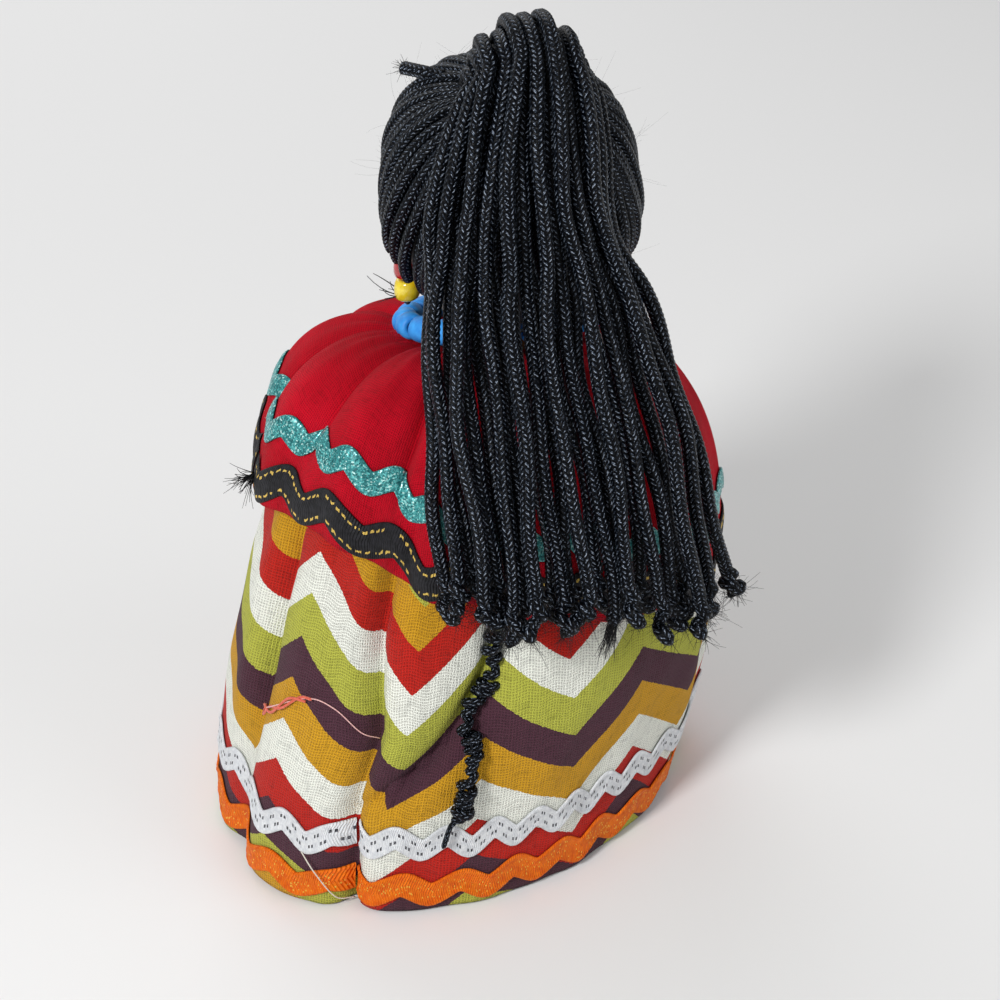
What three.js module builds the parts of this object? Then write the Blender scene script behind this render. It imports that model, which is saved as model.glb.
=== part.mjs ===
import * as THREE from 'three';
import { mergeVertices } from 'three/addons/utils/BufferGeometryUtils.js';

// A small stuffed doll of coconut husk that stands on its skirt. Millimetres.
// The doll faces -Y, its own left is +X, +Z is up, and the origin is the middle
// of the cardboard disc's underside. Angles run from the back (+Y) towards +X.

// the whole doll
const LEAN = 0.097;
const GAP = 0.3;

// body
const DISC_HALF_WIDTH = 30;
const DISC_HALF_DEPTH = 23;
const DISC_THICKNESS = 1.5;
const HUSK_THICKNESS = 1.4;
const NECK_RADIUS = 7.3;
const NECK_IN_HEAD = 3.5;
const NECK_BINDING_RISE = 2.2;
const ARM_RADIUS = 2.6;
const ARM_DROP = 7.7;

// head
const HEAD_X = 0.8;
const HEAD_Z = 99.5;
const HEAD_HALF = [14.4, 14, 14.5];
const HEAD_SQUARENESS = 2.4;

// cloth
const CLOTH_THICKNESS = 0.7;
const WAIST_Z = 66.5;
const HEM_Z = 0.4;
const SKIRT_HEM_HALF = [36.4, 30.5];
const SEAM_ANGLE = 36.5;
const CAPE_NECK_RADIUS = 9.4;
const CAPE_NECK_Z = 78.5;
const CAPE_NECK_RISE = 3;
const CAPE_PUFF = 1.6;
const CAPE_HEM_Z = 48.5;
const CAPE_TILT = 9.5;
const CAPE_HEM_ARCH = 1.8;
const CAPE_HEM_HALF = [32, 26.4];
const CAPE_OVER_SKIRT = 1.3;
const CAPE_FOLDS = 13;
const CAPE_FOLD_DEPTH = 1.4;

// rickrack: distance of its middle from the hem, half wave, band width, number of waves
// and the angle where its ends meet
const TRIM_THICKNESS = 0.8;
const TRIM_GAP = 0.55;
const ORANGE = { up: 4, swing: 0.8, band: 4.2, waves: 24, seam: SEAM_ANGLE };
const WHITE = { up: 12.3, swing: 1, band: 3.8, waves: 29, seam: SEAM_ANGLE };
const BLACK = { up: 3.6, swing: 1.2, band: 4.4, waves: 20, seam: 86 };
const TEAL = { up: 11.5, swing: 1.1, band: 3.2, waves: 29, seam: -150 };

// hair
const CORD_DIAMETER = 1.9;
const SCALP_RIBS = 30;
const TIE_TILT = 25;
const TIE_MIDDLE = -0.6;
const TIE_HALF_LENGTH = 8.2;
const TIE_RADIUS = 0.8;
const TIE_BOW = 0.014;
const CROWN_ROWS = [8, 7, 6, 3];
const CROWN_PITCH = 2.1;
const CROWN_STEP = 1.85;
const LAYER_STEP = 2.1;
const LAYER_SHIFT = 0.4;
const TAIL_RIGHT_LONGER = 1.2;
const CURL_WIRE = 1.1;
const CURL_RADIUS = 0.8;
const CURL_TURNS = 12;
const CURL_SIDES = 7;

// beads
const STRAND_RADIUS = 13.2;
const STRAND_RISE = 0.9;
const STRAND_TILT = 17;
const STRAND_BEADS = 20;
const STRAND_BEAD_RADIUS = 1.75;
const EARRING_Y = -1;
const EARRING_DROP = 7.2;
const EARRING_BEAD_RADIUS = 1.8;
const EARRING_BEAD_HALF = 1.45;
const EARRING_HOLE_RADIUS = 0.6;
const RED_BEAD_DROP = 4.7;
const YELLOW_BEAD_DROP = 8;
const KNOT_RADIUS = 0.4;
const THREAD_RADIUS = 0.25;

const rad = THREE.MathUtils.degToRad;
const smooth = THREE.MathUtils.smoothstep;
const lerp = THREE.MathUtils.lerp;
const vec = (x, y, z) => new THREE.Vector3(x, y, z);

// the head, and what hangs or lies loose, is not drawn out by the doll's lean
const plumb = (p, height) => p.setX(p.x + LEAN * (p.z - height));

// a smooth bump of height 1 on an angle in degrees
function bump(angle, middle, width) {
  let away = (angle - middle) % 360;
  if (away > 180) away -= 360;
  if (away < -180) away += 360;
  return Math.exp(-((away / width) ** 2));
}

// a closed solid from a run of rings; wrap joins the last ring to the first
function loft(rings, wrap = false) {
  const sides = rings[0].length;
  const points = rings.flat();
  const faces = [];
  const last = wrap ? rings.length : rings.length - 1;
  for (let i = 0; i < last; i += 1) {
    const here = i * sides;
    const next = ((i + 1) % rings.length) * sides;
    for (let j = 0; j < sides; j += 1) {
      const k = (j + 1) % sides;
      faces.push(here + j, next + j, next + k, here + j, next + k, here + k);
    }
  }
  if (!wrap) {
    for (const [row, flip] of [[0, false], [rings.length - 1, true]]) {
      const middle = vec(0, 0, 0);
      rings[row].forEach((p) => middle.add(p));
      points.push(middle.divideScalar(sides));
      const m = points.length - 1;
      for (let j = 0; j < sides; j += 1) {
        const a = row * sides + j;
        const b = row * sides + ((j + 1) % sides);
        faces.push(...(flip ? [m, b, a] : [m, a, b]));
      }
    }
  }
  return closed(points, faces);
}

// the same faces turned outwards
function closed(points, faces) {
  let volume = 0;
  const cross = vec(0, 0, 0);
  for (let i = 0; i < faces.length; i += 3) {
    cross.crossVectors(points[faces[i + 1]], points[faces[i + 2]]);
    volume += points[faces[i]].dot(cross);
  }
  if (volume < 0) faces.reverse();
  const geometry = new THREE.BufferGeometry().setFromPoints(points);
  geometry.setIndex(faces);
  return geometry;
}

// rings of a tube whose middle passes through the points
function tubeRings(points, radius, sides) {
  const rings = [];
  let side = null;
  points.forEach((p, i) => {
    const before = points[Math.max(i - 1, 0)];
    const after = points[Math.min(i + 1, points.length - 1)];
    const along = after.clone().sub(before).normalize();
    if (!side) side = Math.abs(along.x) < 0.9 ? vec(1, 0, 0) : vec(0, 1, 0);
    side.addScaledVector(along, -side.dot(along)).normalize();
    const other = along.clone().cross(side);
    const r = Array.isArray(radius) ? radius[i] : radius;
    const ring = [];
    for (let j = 0; j < sides; j += 1) {
      const t = (2 * Math.PI * (j + 0.5)) / sides;
      const corner = p.clone().addScaledVector(side, r * Math.cos(t));
      ring.push(corner.addScaledVector(other, r * Math.sin(t)));
    }
    rings.push(ring);
  });
  return rings;
}

const oval = (a, b, z, count) => {
  const ring = [];
  for (let j = 0; j < count; j += 1) {
    const t = (2 * Math.PI * j) / count;
    ring.push(vec(a * Math.sin(t), b * Math.cos(t), z));
  }
  return ring;
};

// distance from the axis to a squared oval at an angle
function squaredOval(angle, a, b, power) {
  const s = Math.abs(Math.sin(rad(angle))) / a;
  const c = Math.abs(Math.cos(rad(angle))) / b;
  return (s ** power + c ** power) ** (-1 / power);
}

// the skirt's outside, from the waist down
const SKIRT_ROWS = [
  { z: WAIST_Z, a: 16.4, b: 13.6 },
  { z: 63.5, a: 24, b: 19.4 },
  { z: 59, a: 28.6, b: 23.2 },
  { z: 48, a: 32.2, b: 26 },
  { z: 34, a: 34.6, b: 28.8 },
  { z: 20, a: 36, b: 30.2 },
  { z: 8, a: 36.6, b: 30.7 },
  { z: HEM_Z, a: SKIRT_HEM_HALF[0], b: SKIRT_HEM_HALF[1] },
];
const SKIRT_COLUMNS = 72;
const SKIRT_VALLEYS = [
  { at: SEAM_ANGLE, width: 5, deep: 1.9 },
  { at: 71.5, width: 6, deep: 2.2 },
  { at: 106, width: 9, deep: 1.6 },
  { at: 141, width: 9, deep: 2 },
  { at: 177, width: 9, deep: 1.7 },
  { at: -148, width: 9, deep: 2 },
  { at: -113, width: 9, deep: 1.8 },
  { at: -78, width: 8, deep: 1.5 },
];

function skirtRadius(angle, z, a, b) {
  const low = 1 - 0.8 * smooth(z, 14, 40);
  const swell = 1 + 0.065 * low * bump(angle, 42, 27) - 0.15 * low * bump(angle, -47, 32);
  let r = squaredOval(angle, a, b, 2.3) * swell;
  const fullness = 0.25 + 0.75 * smooth(WAIST_Z - z, 0, 10);
  SKIRT_VALLEYS.forEach((v) => {
    r -= v.deep * fullness * bump(angle, v.at, v.width);
  });
  // one soft fold slants from the middle of the back down to the seam
  const fall = THREE.MathUtils.clamp((50 - z) / 33, 0, 1.1);
  r -= 1.7 * smooth(z, 12, 24) * fullness * bump(angle, 5 + 31 * fall ** 2.2, 6.5);
  r += 1.1 * smooth(z, 10, 26) * fullness * bump(angle, -24, 24);
  // the doll's right side swells below the cape
  r += 3.6 * Math.exp(-(((z - 22) / 15) ** 2)) * bump(angle, -90, 30);
  return r;
}

const skirtGrid = SKIRT_ROWS.map(({ z, a, b }) => {
  const ring = [];
  for (let j = 0; j < SKIRT_COLUMNS; j += 1) {
    const angle = (360 * j) / SKIRT_COLUMNS;
    const r = skirtRadius(angle, z, a, b);
    ring.push(vec(r * Math.sin(rad(angle)), r * Math.cos(rad(angle)), z));
  }
  return ring;
});

// the cape, from the neck to the hem
const CAPE_COLUMNS = 78;
const CAPE_STEPS = [0, 17, 35, 53, 71, 90];
const CAPE_DIP = 3.5;

function skirtRadiusAt(angle, z) {
  const i = SKIRT_ROWS.findIndex((row) => row.z <= z);
  const low = SKIRT_ROWS[Math.max(i, 1)];
  const high = SKIRT_ROWS[Math.max(i, 1) - 1];
  const t = THREE.MathUtils.clamp((z - low.z) / (high.z - low.z), 0, 1);
  return lerp(skirtRadius(angle, low.z, low.a, low.b), skirtRadius(angle, high.z, high.a, high.b), t);
}

function capePoint(angle, step) {
  const s = Math.sin(rad(angle));
  const c = Math.cos(rad(angle));
  const arch = CAPE_HEM_ARCH * (bump(angle, 54, 18) - bump(angle, 92, 20) + bump(angle, -27, 24));
  const hemZ = CAPE_HEM_Z + CAPE_TILT * s + arch;
  const hemOval = squaredOval(angle, CAPE_HEM_HALF[0], CAPE_HEM_HALF[1], 2.2);
  const hemR = Math.max(hemOval, skirtRadiusAt(angle, hemZ) + CAPE_OVER_SKIRT);
  const neckZ = CAPE_NECK_Z + CAPE_NECK_RISE * c;
  const power = 1.9 + (s > 0 ? 0.2 : -0.15) * s * s;
  const out = Math.sin(rad(step)) ** (2 / power);
  const up = Math.max(Math.cos(rad(step)), 0) ** (2 / power);
  let r = CAPE_NECK_RADIUS + (hemR - CAPE_NECK_RADIUS) * out;
  let z = hemZ + (neckZ - hemZ) * up;
  z += CAPE_PUFF * Math.max(s, 0) * Math.sin(2 * rad(step)) ** 2;
  z -= CAPE_DIP * Math.exp(-(((r - CAPE_NECK_RADIUS) / 5) ** 2));
  const depth = CAPE_FOLD_DEPTH * (0.2 + 0.8 * Math.sin(rad(step)));
  const fold = depth * (0.5 + 0.5 * Math.cos(CAPE_FOLDS * rad(angle) + 0.9 * Math.sin(2 * rad(angle))));
  const away = new THREE.Vector2(r - 8, z - 56).normalize();
  r += step === 0 ? 0 : fold * away.x;
  z += fold * away.y;
  return vec(r * s, r * c, z);
}

const capeGrid = CAPE_STEPS.map((step) => {
  const ring = [];
  for (let j = 0; j < CAPE_COLUMNS; j += 1) ring.push(capePoint((360 * j) / CAPE_COLUMNS, step));
  return ring;
});

// a cloth's grid as a shell, and places on its outside by angle and distance from the hem
class Cloth {
  constructor(grid) {
    this.grid = grid;
    this.rows = grid.length;
    this.columns = grid[0].length;
  }

  column(j, up) {
    let left = up;
    for (let i = this.rows - 1; i > 0; i -= 1) {
      const a = this.grid[i][j];
      const b = this.grid[i - 1][j];
      const long = a.distanceTo(b);
      if (left <= long || i === 1) return a.clone().lerp(b, left / long);
      left -= long;
    }
    return null;
  }

  point(angle, up) {
    const f = ((((angle % 360) + 360) % 360) / 360) * this.columns;
    const j = Math.floor(f) % this.columns;
    return this.column(j, up).lerp(this.column((j + 1) % this.columns, up), f - Math.floor(f));
  }

  outward(angle, up) {
    const round = this.point(angle + 2.5, up).sub(this.point(angle - 2.5, up));
    const rise = this.point(angle, up + 1.2).sub(this.point(angle, Math.max(up - 1.2, 0)));
    const n = rise.cross(round).normalize();
    const p = this.point(angle, up);
    return n.dot(vec(p.x, p.y, 6)) < 0 ? n.negate() : n;
  }

  shell(thickness, radial) {
    const inner = this.grid.map((ring, i) => ring.map((p, j) => {
      if (radial) {
        const r = Math.hypot(p.x, p.y);
        const k = (r - thickness) / r;
        return vec(p.x * k, p.y * k, p.z);
      }
      const above = this.grid[Math.max(i - 1, 0)][j];
      const below = this.grid[Math.min(i + 1, this.rows - 1)][j];
      const before = ring[(j + this.columns - 1) % this.columns];
      const after = ring[(j + 1) % this.columns];
      const n = above.clone().sub(below).cross(after.clone().sub(before)).normalize();
      if (n.dot(vec(p.x, p.y, 6)) < 0) n.negate();
      return p.clone().addScaledVector(n, -thickness);
    }));
    return loft([...this.grid, ...inner.reverse()], true);
  }

  // a waved braid laid flat on the outside, its two ends meeting at the seam
  rickrack({ up, swing, band, waves, seam }) {
    const count = waves * 4;
    const span = 355;
    const girth = 2 * Math.PI * Math.hypot(this.point(0, up).y, this.point(90, up).x) * 0.707;
    const rings = [];
    for (let k = 0; k <= count; k += 1) {
      const t = (2 * Math.PI * waves * k) / count;
      const angle = seam + 2.5 + (span * k) / count;
      const slope = (swing * 2 * Math.PI * waves * Math.cos(t)) / ((girth * span) / 360);
      const size = Math.hypot(1, slope);
      const ring = [];
      for (const [side, lift] of [[-1, 0], [1, 0], [1, 1], [-1, 1]]) {
        const across = (side * band) / 2 / size;
        const at = angle - (slope * across * 360) / girth;
        const high = up + swing * Math.sin(t) + across;
        const p = this.point(at, high);
        ring.push(p.addScaledVector(this.outward(at, high), TRIM_GAP + lift * TRIM_THICKNESS));
      }
      rings.push(ring);
    }
    return loft(rings);
  }
}

const skirtCloth = new Cloth(skirtGrid);
const capeCloth = new Cloth(capeGrid);

// places on the head
const headCentre = vec(HEAD_X, 0, HEAD_Z);

function headRadius(d) {
  const k = HEAD_SQUARENESS;
  const sum = (Math.abs(d.x) / HEAD_HALF[0]) ** k + (Math.abs(d.y) / HEAD_HALF[1]) ** k
    + (Math.abs(d.z) / HEAD_HALF[2]) ** k;
  return sum ** (-1 / k);
}

const onHead = (d, out) => plumb(headCentre.clone().addScaledVector(d, headRadius(d) + out), HEAD_Z);

function headRings(inset, from, to, rows, count) {
  const rings = [];
  for (let i = 0; i <= rows; i += 1) {
    const down = rad(lerp(from, to, i / rows));
    const ring = [];
    for (let j = 0; j < count; j += 1) {
      const t = (2 * Math.PI * j) / count;
      const d = vec(Math.sin(down) * Math.sin(t), Math.sin(down) * Math.cos(t), Math.cos(down));
      ring.push(onHead(d, -inset));
    }
    rings.push(ring);
  }
  return rings;
}

// a flat patch of stitching on the face, seen from the front at an angle and a height
function faceStitch(turn, height, width, tall, tilt) {
  const rings = [];
  for (const [size, out] of [[0.45, 0.9], [1, 0.7], [1, GAP], [0.45, GAP]]) {
    const ring = [];
    for (let j = 0; j < 10; j += 1) {
      const t = (2 * Math.PI * j) / 10;
      const u = (size * width * Math.cos(t)) / 2;
      const v = (size * tall * Math.sin(t)) / 2;
      const x = turn + u * Math.cos(rad(tilt)) - v * Math.sin(rad(tilt));
      const z = height + u * Math.sin(rad(tilt)) + v * Math.cos(rad(tilt));
      const d = vec(x, -Math.sqrt(196 - x * x - z * z), z).normalize();
      ring.push(onHead(d, out));
    }
    rings.push(ring);
  }
  return loft(rings);
}

// hair on the head: cords swept from the hairline to the tie
const pole = vec(0, Math.sin(rad(TIE_TILT)), Math.cos(rad(TIE_TILT)));
const downBack = vec(0, Math.cos(rad(TIE_TILT)), -Math.sin(rad(TIE_TILT)));
const SCALP_IN = GAP + 0.3;
const SCALP_OUT = SCALP_IN + CORD_DIAMETER;

function hairline(turn) {
  const away = Math.abs(THREE.MathUtils.euclideanModulo(turn + 180, 360) - 180);
  return 123 - 14 * smooth(away, 30, 95) - 44 * smooth(away, 95, 150);
}

function scalpDirection(turn, down) {
  const side = vec(Math.sin(rad(turn)), 0, 0).addScaledVector(downBack, Math.cos(rad(turn)));
  return pole.clone().multiplyScalar(Math.cos(rad(down))).addScaledVector(side, Math.sin(rad(down)));
}

function scalpCords() {
  const rings = [];
  const count = SCALP_RIBS * 2;
  const parts = [0.06, 0.2, 0.36, 0.52, 0.68, 0.84, 1];
  parts.forEach((part) => {
    rings.push(Array.from({ length: count }, (_, j) => {
      const turn = (360 * j) / count;
      const low = j % 2 ? 0.5 : 1;
      const loose = 1.5 * smooth(part, 0.5, 0.95) * (bump(turn, 62, 30) + bump(turn, -62, 30));
      return onHead(scalpDirection(turn, part * hairline(turn)), SCALP_IN + CORD_DIAMETER * low + loose);
    }));
  });
  parts.reverse().forEach((part) => {
    rings.push(Array.from({ length: count }, (_, j) => {
      const turn = (360 * j) / count;
      return onHead(scalpDirection(turn, part * hairline(turn)), SCALP_IN);
    }));
  });
  return loft(rings);
}

// ponytail
const tieAxis = onHead(pole, SCALP_OUT + GAP + TIE_RADIUS);

// the inmost layer's way over the back of the head, then its middle line down the back,
// and the fan's two edges, from the tie to the tips
const HEAD_ROUTE = [
  { rise: 50, lift: 1.9, left: 9, right: -9, bow: 0.016, even: 0 },
  { rise: 30, lift: 1.6, left: 11.8, right: -9.4, bow: 0.017, even: 0.4 },
  { rise: 9, lift: 1.5, left: 13.3, right: -9.8, bow: 0.018, even: 0.7 },
  { rise: -12, lift: 1.7, left: 14, right: -11.6, bow: 0.014, even: 0.9 },
];
const TAIL_ROUTE = [
  { y: 20.0, z: 90, stackY: 0.94, stackZ: 0.3, left: 14.8, right: -14.6, bow: 0.012, even: 1 },
  { y: 23.6, z: 80, stackY: 0.94, stackZ: 0.33, left: 15, right: -19.2, bow: 0.0105, even: 0.96 },
  { y: 28.0, z: 70, stackY: 0.94, stackZ: 0.33, left: 14.2, right: -24, bow: 0.0098, even: 0.92 },
  { y: 31.4, z: 60.5, stackY: 0.98, stackZ: 0.18, left: 13, right: -27, bow: 0.0095, even: 0.9 },
  { y: 32.6, z: 52.5, stackY: 1, stackZ: 0, left: 11.8, right: -29.5, bow: 0.0092, even: 0.88 },
];

// the cords lie in rows of loops over the tie, the inmost row first, and are counted from the left
const crownHalf = ((CROWN_ROWS[0] - 1) / 2) * CROWN_PITCH;
const tailCords = CROWN_ROWS.flatMap((count, row) => Array.from({ length: count }, (_, k) => (
  { row, x: ((count - 1) / 2 - k) * CROWN_PITCH }
))).sort((p, q) => q.x - p.x || p.row - q.row);

function tailPoints({ row, x: crownX }, share) {
  const points = [];
  const ringR = TIE_RADIUS + GAP + 0.1 + CORD_DIAMETER / 2 + row * CROWN_STEP;
  const crownShare = 0.5 - crownX / crownHalf / 2;
  for (const turn of [112, 92, 70]) {
    const x = crownX;
    const p = vec(HEAD_X + TIE_MIDDLE + x, tieAxis.y, tieAxis.z - TIE_BOW * x * x);
    p.addScaledVector(downBack, ringR * Math.cos(rad(turn)));
    p.addScaledVector(pole, ringR * Math.sin(rad(turn)));
    points.push(plumb(p, HEAD_Z));
  }
  HEAD_ROUTE.forEach(({ rise, lift, left, right, bow, even }) => {
    const d = vec(0, Math.cos(rad(rise)), Math.sin(rad(rise)));
    const x = lerp(left, right, lerp(crownShare, share, even));
    const stack = rad(Math.max(rise, 14));
    const p = onHead(d, SCALP_OUT + lift);
    p.add(vec(0, Math.cos(stack), Math.sin(stack)).multiplyScalar(row * LAYER_STEP));
    points.push(plumb(vec(HEAD_X + x, p.y - bow * x * x, p.z), HEAD_Z));
  });
  TAIL_ROUTE.forEach(({ y, z, stackY, stackZ, left, right, bow, even }) => {
    const x = lerp(left, right, share * lerp(share ** 4, 1, even));
    const out = row * LAYER_STEP;
    points.push(vec(x + row * LAYER_SHIFT, y - bow * x * x + out * stackY, z + out * stackZ));
  });
  // the tips end at slightly different heights, and the cords on the right hang lower
  const [above, tip] = points.slice(-2);
  const longer = TAIL_RIGHT_LONGER * smooth(share, 0.6, 1);
  tip.lerpVectors(above, tip.clone(), 1 + 0.25 * Math.sin(37 * share + 2 * row) + longer);
  return points;
}

// the one cord that has come undone, curling down over the skirt
// it hangs straight from under the tail's inmost tips, clear of the cape's hem
const CURL_LEAD = [[4.1, 30.2, 56], [3.4, 30.75, 52.2], [2.6, 30.4, 49.2], [2.1, 29.6, 46.8]];
const CURL_ROUTE = [
  { angle: 4, z: 44.6 },
  { angle: 5.5, z: 42 },
  { angle: 7, z: 38.5 },
  { angle: 10.5, z: 33.5 },
  { angle: 11, z: 27.5 },
  { angle: 9.5, z: 22 },
  { angle: 13.5, z: 17 },
  { angle: 15, z: 13 },
];

function curlPoints() {
  const off = GAP + 0.5 + CURL_RADIUS + CURL_WIRE / 2;
  const line = new THREE.CatmullRomCurve3(CURL_ROUTE.map(({ angle, z }) => {
    const r = skirtRadiusAt(angle, z) + off;
    return vec(r * Math.sin(rad(angle)), r * Math.cos(rad(angle)), z);
  }));
  const points = CURL_LEAD.map(([x, y, z]) => vec(x, y, z));
  const steps = CURL_TURNS * CURL_SIDES;
  for (let i = 0; i <= steps; i += 1) {
    const u = i / steps;
    const p = line.getPointAt(0.86 * u);
    const along = line.getTangentAt(0.86 * u);
    const side = vec(1, 0, 0).addScaledVector(along, -along.x).normalize();
    const other = along.clone().cross(side);
    const wide = CURL_RADIUS * Math.min(1, i / 6, (steps - i) / 6);
    const t = (2 * Math.PI * i) / CURL_SIDES;
    points.push(p.addScaledVector(side, wide * Math.cos(t)).addScaledVector(other, wide * Math.sin(t)));
  }
  for (const u of [0.93, 1]) points.push(line.getPointAt(u));
  return points;
}

function leastGap(points, diameter) {
  let least = Infinity;
  for (let i = 0; i < points.length; i += 1) {
    for (let j = i + 6; j < points.length; j += 1) least = Math.min(least, points[i].distanceTo(points[j]));
  }
  return least - diameter;
}

// necklace and earrings
const STRAND_Z = CAPE_NECK_Z + STRAND_RISE;
const EARRING_TOP_Z = HEAD_Z - EARRING_DROP;
const RED_BEAD_Z = EARRING_TOP_Z - RED_BEAD_DROP;
const YELLOW_BEAD_Z = EARRING_TOP_Z - YELLOW_BEAD_DROP;
const earringSide = 1 - (EARRING_DROP / HEAD_HALF[2]) ** HEAD_SQUARENESS
  - (Math.abs(EARRING_Y) / HEAD_HALF[1]) ** HEAD_SQUARENESS;
const EARRING_OUT = HEAD_HALF[0] * earringSide ** (1 / HEAD_SQUARENESS) + GAP + KNOT_RADIUS;
const earringX = (side) => HEAD_X - LEAN * EARRING_DROP + side * EARRING_OUT;

function strand() {
  const rings = [];
  const profile = [[0, 0.5], [0.1, 1.35], [0.5, STRAND_BEAD_RADIUS], [0.9, 1.35]];
  const lift = vec(0, Math.cos(rad(STRAND_TILT)), Math.sin(rad(STRAND_TILT)));
  const normal = vec(0, -Math.sin(rad(STRAND_TILT)), Math.cos(rad(STRAND_TILT)));
  for (let k = 0; k < STRAND_BEADS; k += 1) {
    for (const [part, r] of profile) {
      const t = (2 * Math.PI * (k + part)) / STRAND_BEADS;
      const out = vec(Math.sin(t), 0, 0).addScaledVector(lift, Math.cos(t));
      const ring = [];
      for (let j = 0; j < 6; j += 1) {
        const a = (2 * Math.PI * j) / 6;
        const p = vec(0, 0, STRAND_Z).addScaledVector(out, STRAND_RADIUS + r * Math.cos(a));
        ring.push(plumb(p.addScaledVector(normal, r * Math.sin(a)), STRAND_Z));
      }
      rings.push(ring);
    }
  }
  return loft(rings, true);
}

function ringBead(x, z) {
  const rings = [];
  const section = [
    [EARRING_HOLE_RADIUS, -0.7], [1.2, -1], [EARRING_BEAD_RADIUS, -0.45],
    [EARRING_BEAD_RADIUS, 0.45], [1.2, 1], [EARRING_HOLE_RADIUS, 0.7],
  ];
  for (let j = 0; j < 10; j += 1) {
    const t = (2 * Math.PI * j) / 10;
    rings.push(section.map(([r, h]) => {
      const p = vec(x + r * Math.cos(t), EARRING_Y + r * Math.sin(t), z + h * EARRING_BEAD_HALF);
      return plumb(p, EARRING_TOP_Z);
    }));
  }
  return loft(rings, true);
}

function earringThread(x) {
  const knotZ = YELLOW_BEAD_Z - EARRING_BEAD_HALF - 0.15;
  const run = [
    [EARRING_TOP_Z + 0.5, 0.1], [EARRING_TOP_Z + 0.35, KNOT_RADIUS], [EARRING_TOP_Z - 0.3, KNOT_RADIUS],
    [EARRING_TOP_Z - 0.6, THREAD_RADIUS], [RED_BEAD_Z, THREAD_RADIUS], [knotZ, THREAD_RADIUS],
    [knotZ - 0.2, 0.55], [knotZ - 0.75, 0.55], [knotZ - 0.95, 0.2],
  ];
  const points = run.map(([z]) => vec(x, EARRING_Y, z));
  const rings = tubeRings(points, run.map(([, r]) => r), 8);
  return loft(rings.map((ring) => ring.map((p) => plumb(p, EARRING_TOP_Z))));
}

// body and arms
const NECK_TOP_Z = HEAD_Z - HEAD_HALF[2] + NECK_IN_HEAD;
const BODY_ROWS = [
  [DISC_THICKNESS + GAP, DISC_HALF_WIDTH - 1, DISC_HALF_DEPTH - 1], [18, 28.5, 21.5], [36, 25.5, 19.5],
  [52, 20.5, 16], [60, 16.4, 13], [WAIST_Z, 14.9, 12.1],
  [CAPE_NECK_Z - 10.9, 14.2, 11.2], [CAPE_NECK_Z - 8.5, 8.8, 8.4],
  [CAPE_NECK_Z - 6, NECK_RADIUS, NECK_RADIUS], [NECK_TOP_Z, NECK_RADIUS, NECK_RADIUS],
];
const ARM_Z = CAPE_NECK_Z - ARM_DROP;
const ARM_SHOULDER = [11.6, -1, ARM_Z - 0.3];
const ARM_BEND = [16.8, -1, ARM_Z - 0.4];
const ARM_END = [20, -2.3, ARM_Z - 3.4];

function bodyHusk() {
  const outer = BODY_ROWS.map(([z, a, b]) => oval(a, b, z, 18));
  const inner = BODY_ROWS.map(([z, a, b]) => oval(a - HUSK_THICKNESS, b - HUSK_THICKNESS, z, 18));
  return loft([...outer, ...inner.reverse()], true);
}

function bodyStuffing() {
  const inset = HUSK_THICKNESS + GAP + 0.9;
  return loft(BODY_ROWS.map(([z, a, b]) => oval(a - inset, b - inset, z, 12)));
}

function arm(side) {
  const at = ([x, y, z]) => vec(side * x, y, z);
  const line = new THREE.CatmullRomCurve3([at(ARM_SHOULDER), at(ARM_BEND), at(ARM_END)]);
  const stations = [
    [0, 0.5], [0.08, 0.72], [0.3, 0.95], [0.5, 1], [0.7, 1], [0.86, 0.95], [0.95, 0.8], [1, 0.5],
  ];
  const points = stations.map(([u]) => line.getPointAt(u));
  return loft(tubeRings(points, stations.map(([, k]) => k * ARM_RADIUS), 10));
}

// a thread wound around: a ring of round section on an oval
function woundThread(a, b, low, thick, turns, rise = 0) {
  const rings = [];
  for (let j = 0; j < 20; j += 1) {
    const t = (2 * Math.PI * j) / 20;
    const z = low + rise * Math.cos(t);
    const ring = [];
    for (let k = 0; k < turns; k += 1) {
      for (const [out, up] of [[0.25, 0], [1, 0.3], [1, 0.7]]) {
        const far = thick * out;
        ring.push(vec((a + far) * Math.sin(t), (b + far) * Math.cos(t), z + thick * (k + up)));
      }
    }
    ring.push(vec((a + thick * 0.25) * Math.sin(t), (b + thick * 0.25) * Math.cos(t), z + thick * turns));
    ring.push(vec(a * Math.sin(t), b * Math.cos(t), z + thick * turns));
    ring.push(vec(a * Math.sin(t), b * Math.cos(t), z));
    rings.push(ring);
  }
  return loft(rings, true);
}

// assembly
const doll = new THREE.Group();
doll.name = 'coconut_husk_doll';
const upright = new THREE.Group();
upright.matrixAutoUpdate = false;
upright.matrix.makeShear(0, 0, 0, 0, -LEAN, 0);
doll.add(upright);

function add(name, geometry, colour, roughness, metalness = 0) {
  const solid = geometry.clone();
  solid.deleteAttribute('normal');
  solid.deleteAttribute('uv');
  const mesh = new THREE.Mesh(
    mergeVertices(solid, 1e-4),
    new THREE.MeshStandardMaterial({ color: colour, roughness, metalness }),
  );
  mesh.name = name;
  upright.add(mesh);
}

const HUSK = 0x7a5230;
const BLACK_CORD = 0x15181c;

const disc = loft([oval(DISC_HALF_WIDTH, DISC_HALF_DEPTH, 0, 40),
  oval(DISC_HALF_WIDTH, DISC_HALF_DEPTH, DISC_THICKNESS, 40)]);
add('base_disc', disc, 0xa58a62, 0.9);
add('body_husk', bodyHusk(), HUSK, 0.95);
add('body_stuffing', bodyStuffing(), 0x8a6238, 1);
add('arm_left', arm(1), HUSK, 0.95);
add('arm_right', arm(-1), HUSK, 0.95);
const bound = NECK_RADIUS + GAP;
add('neck_binding', woundThread(bound, bound, CAPE_NECK_Z + NECK_BINDING_RISE, 1.2, 2), 0x2a2320, 0.8);

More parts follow.
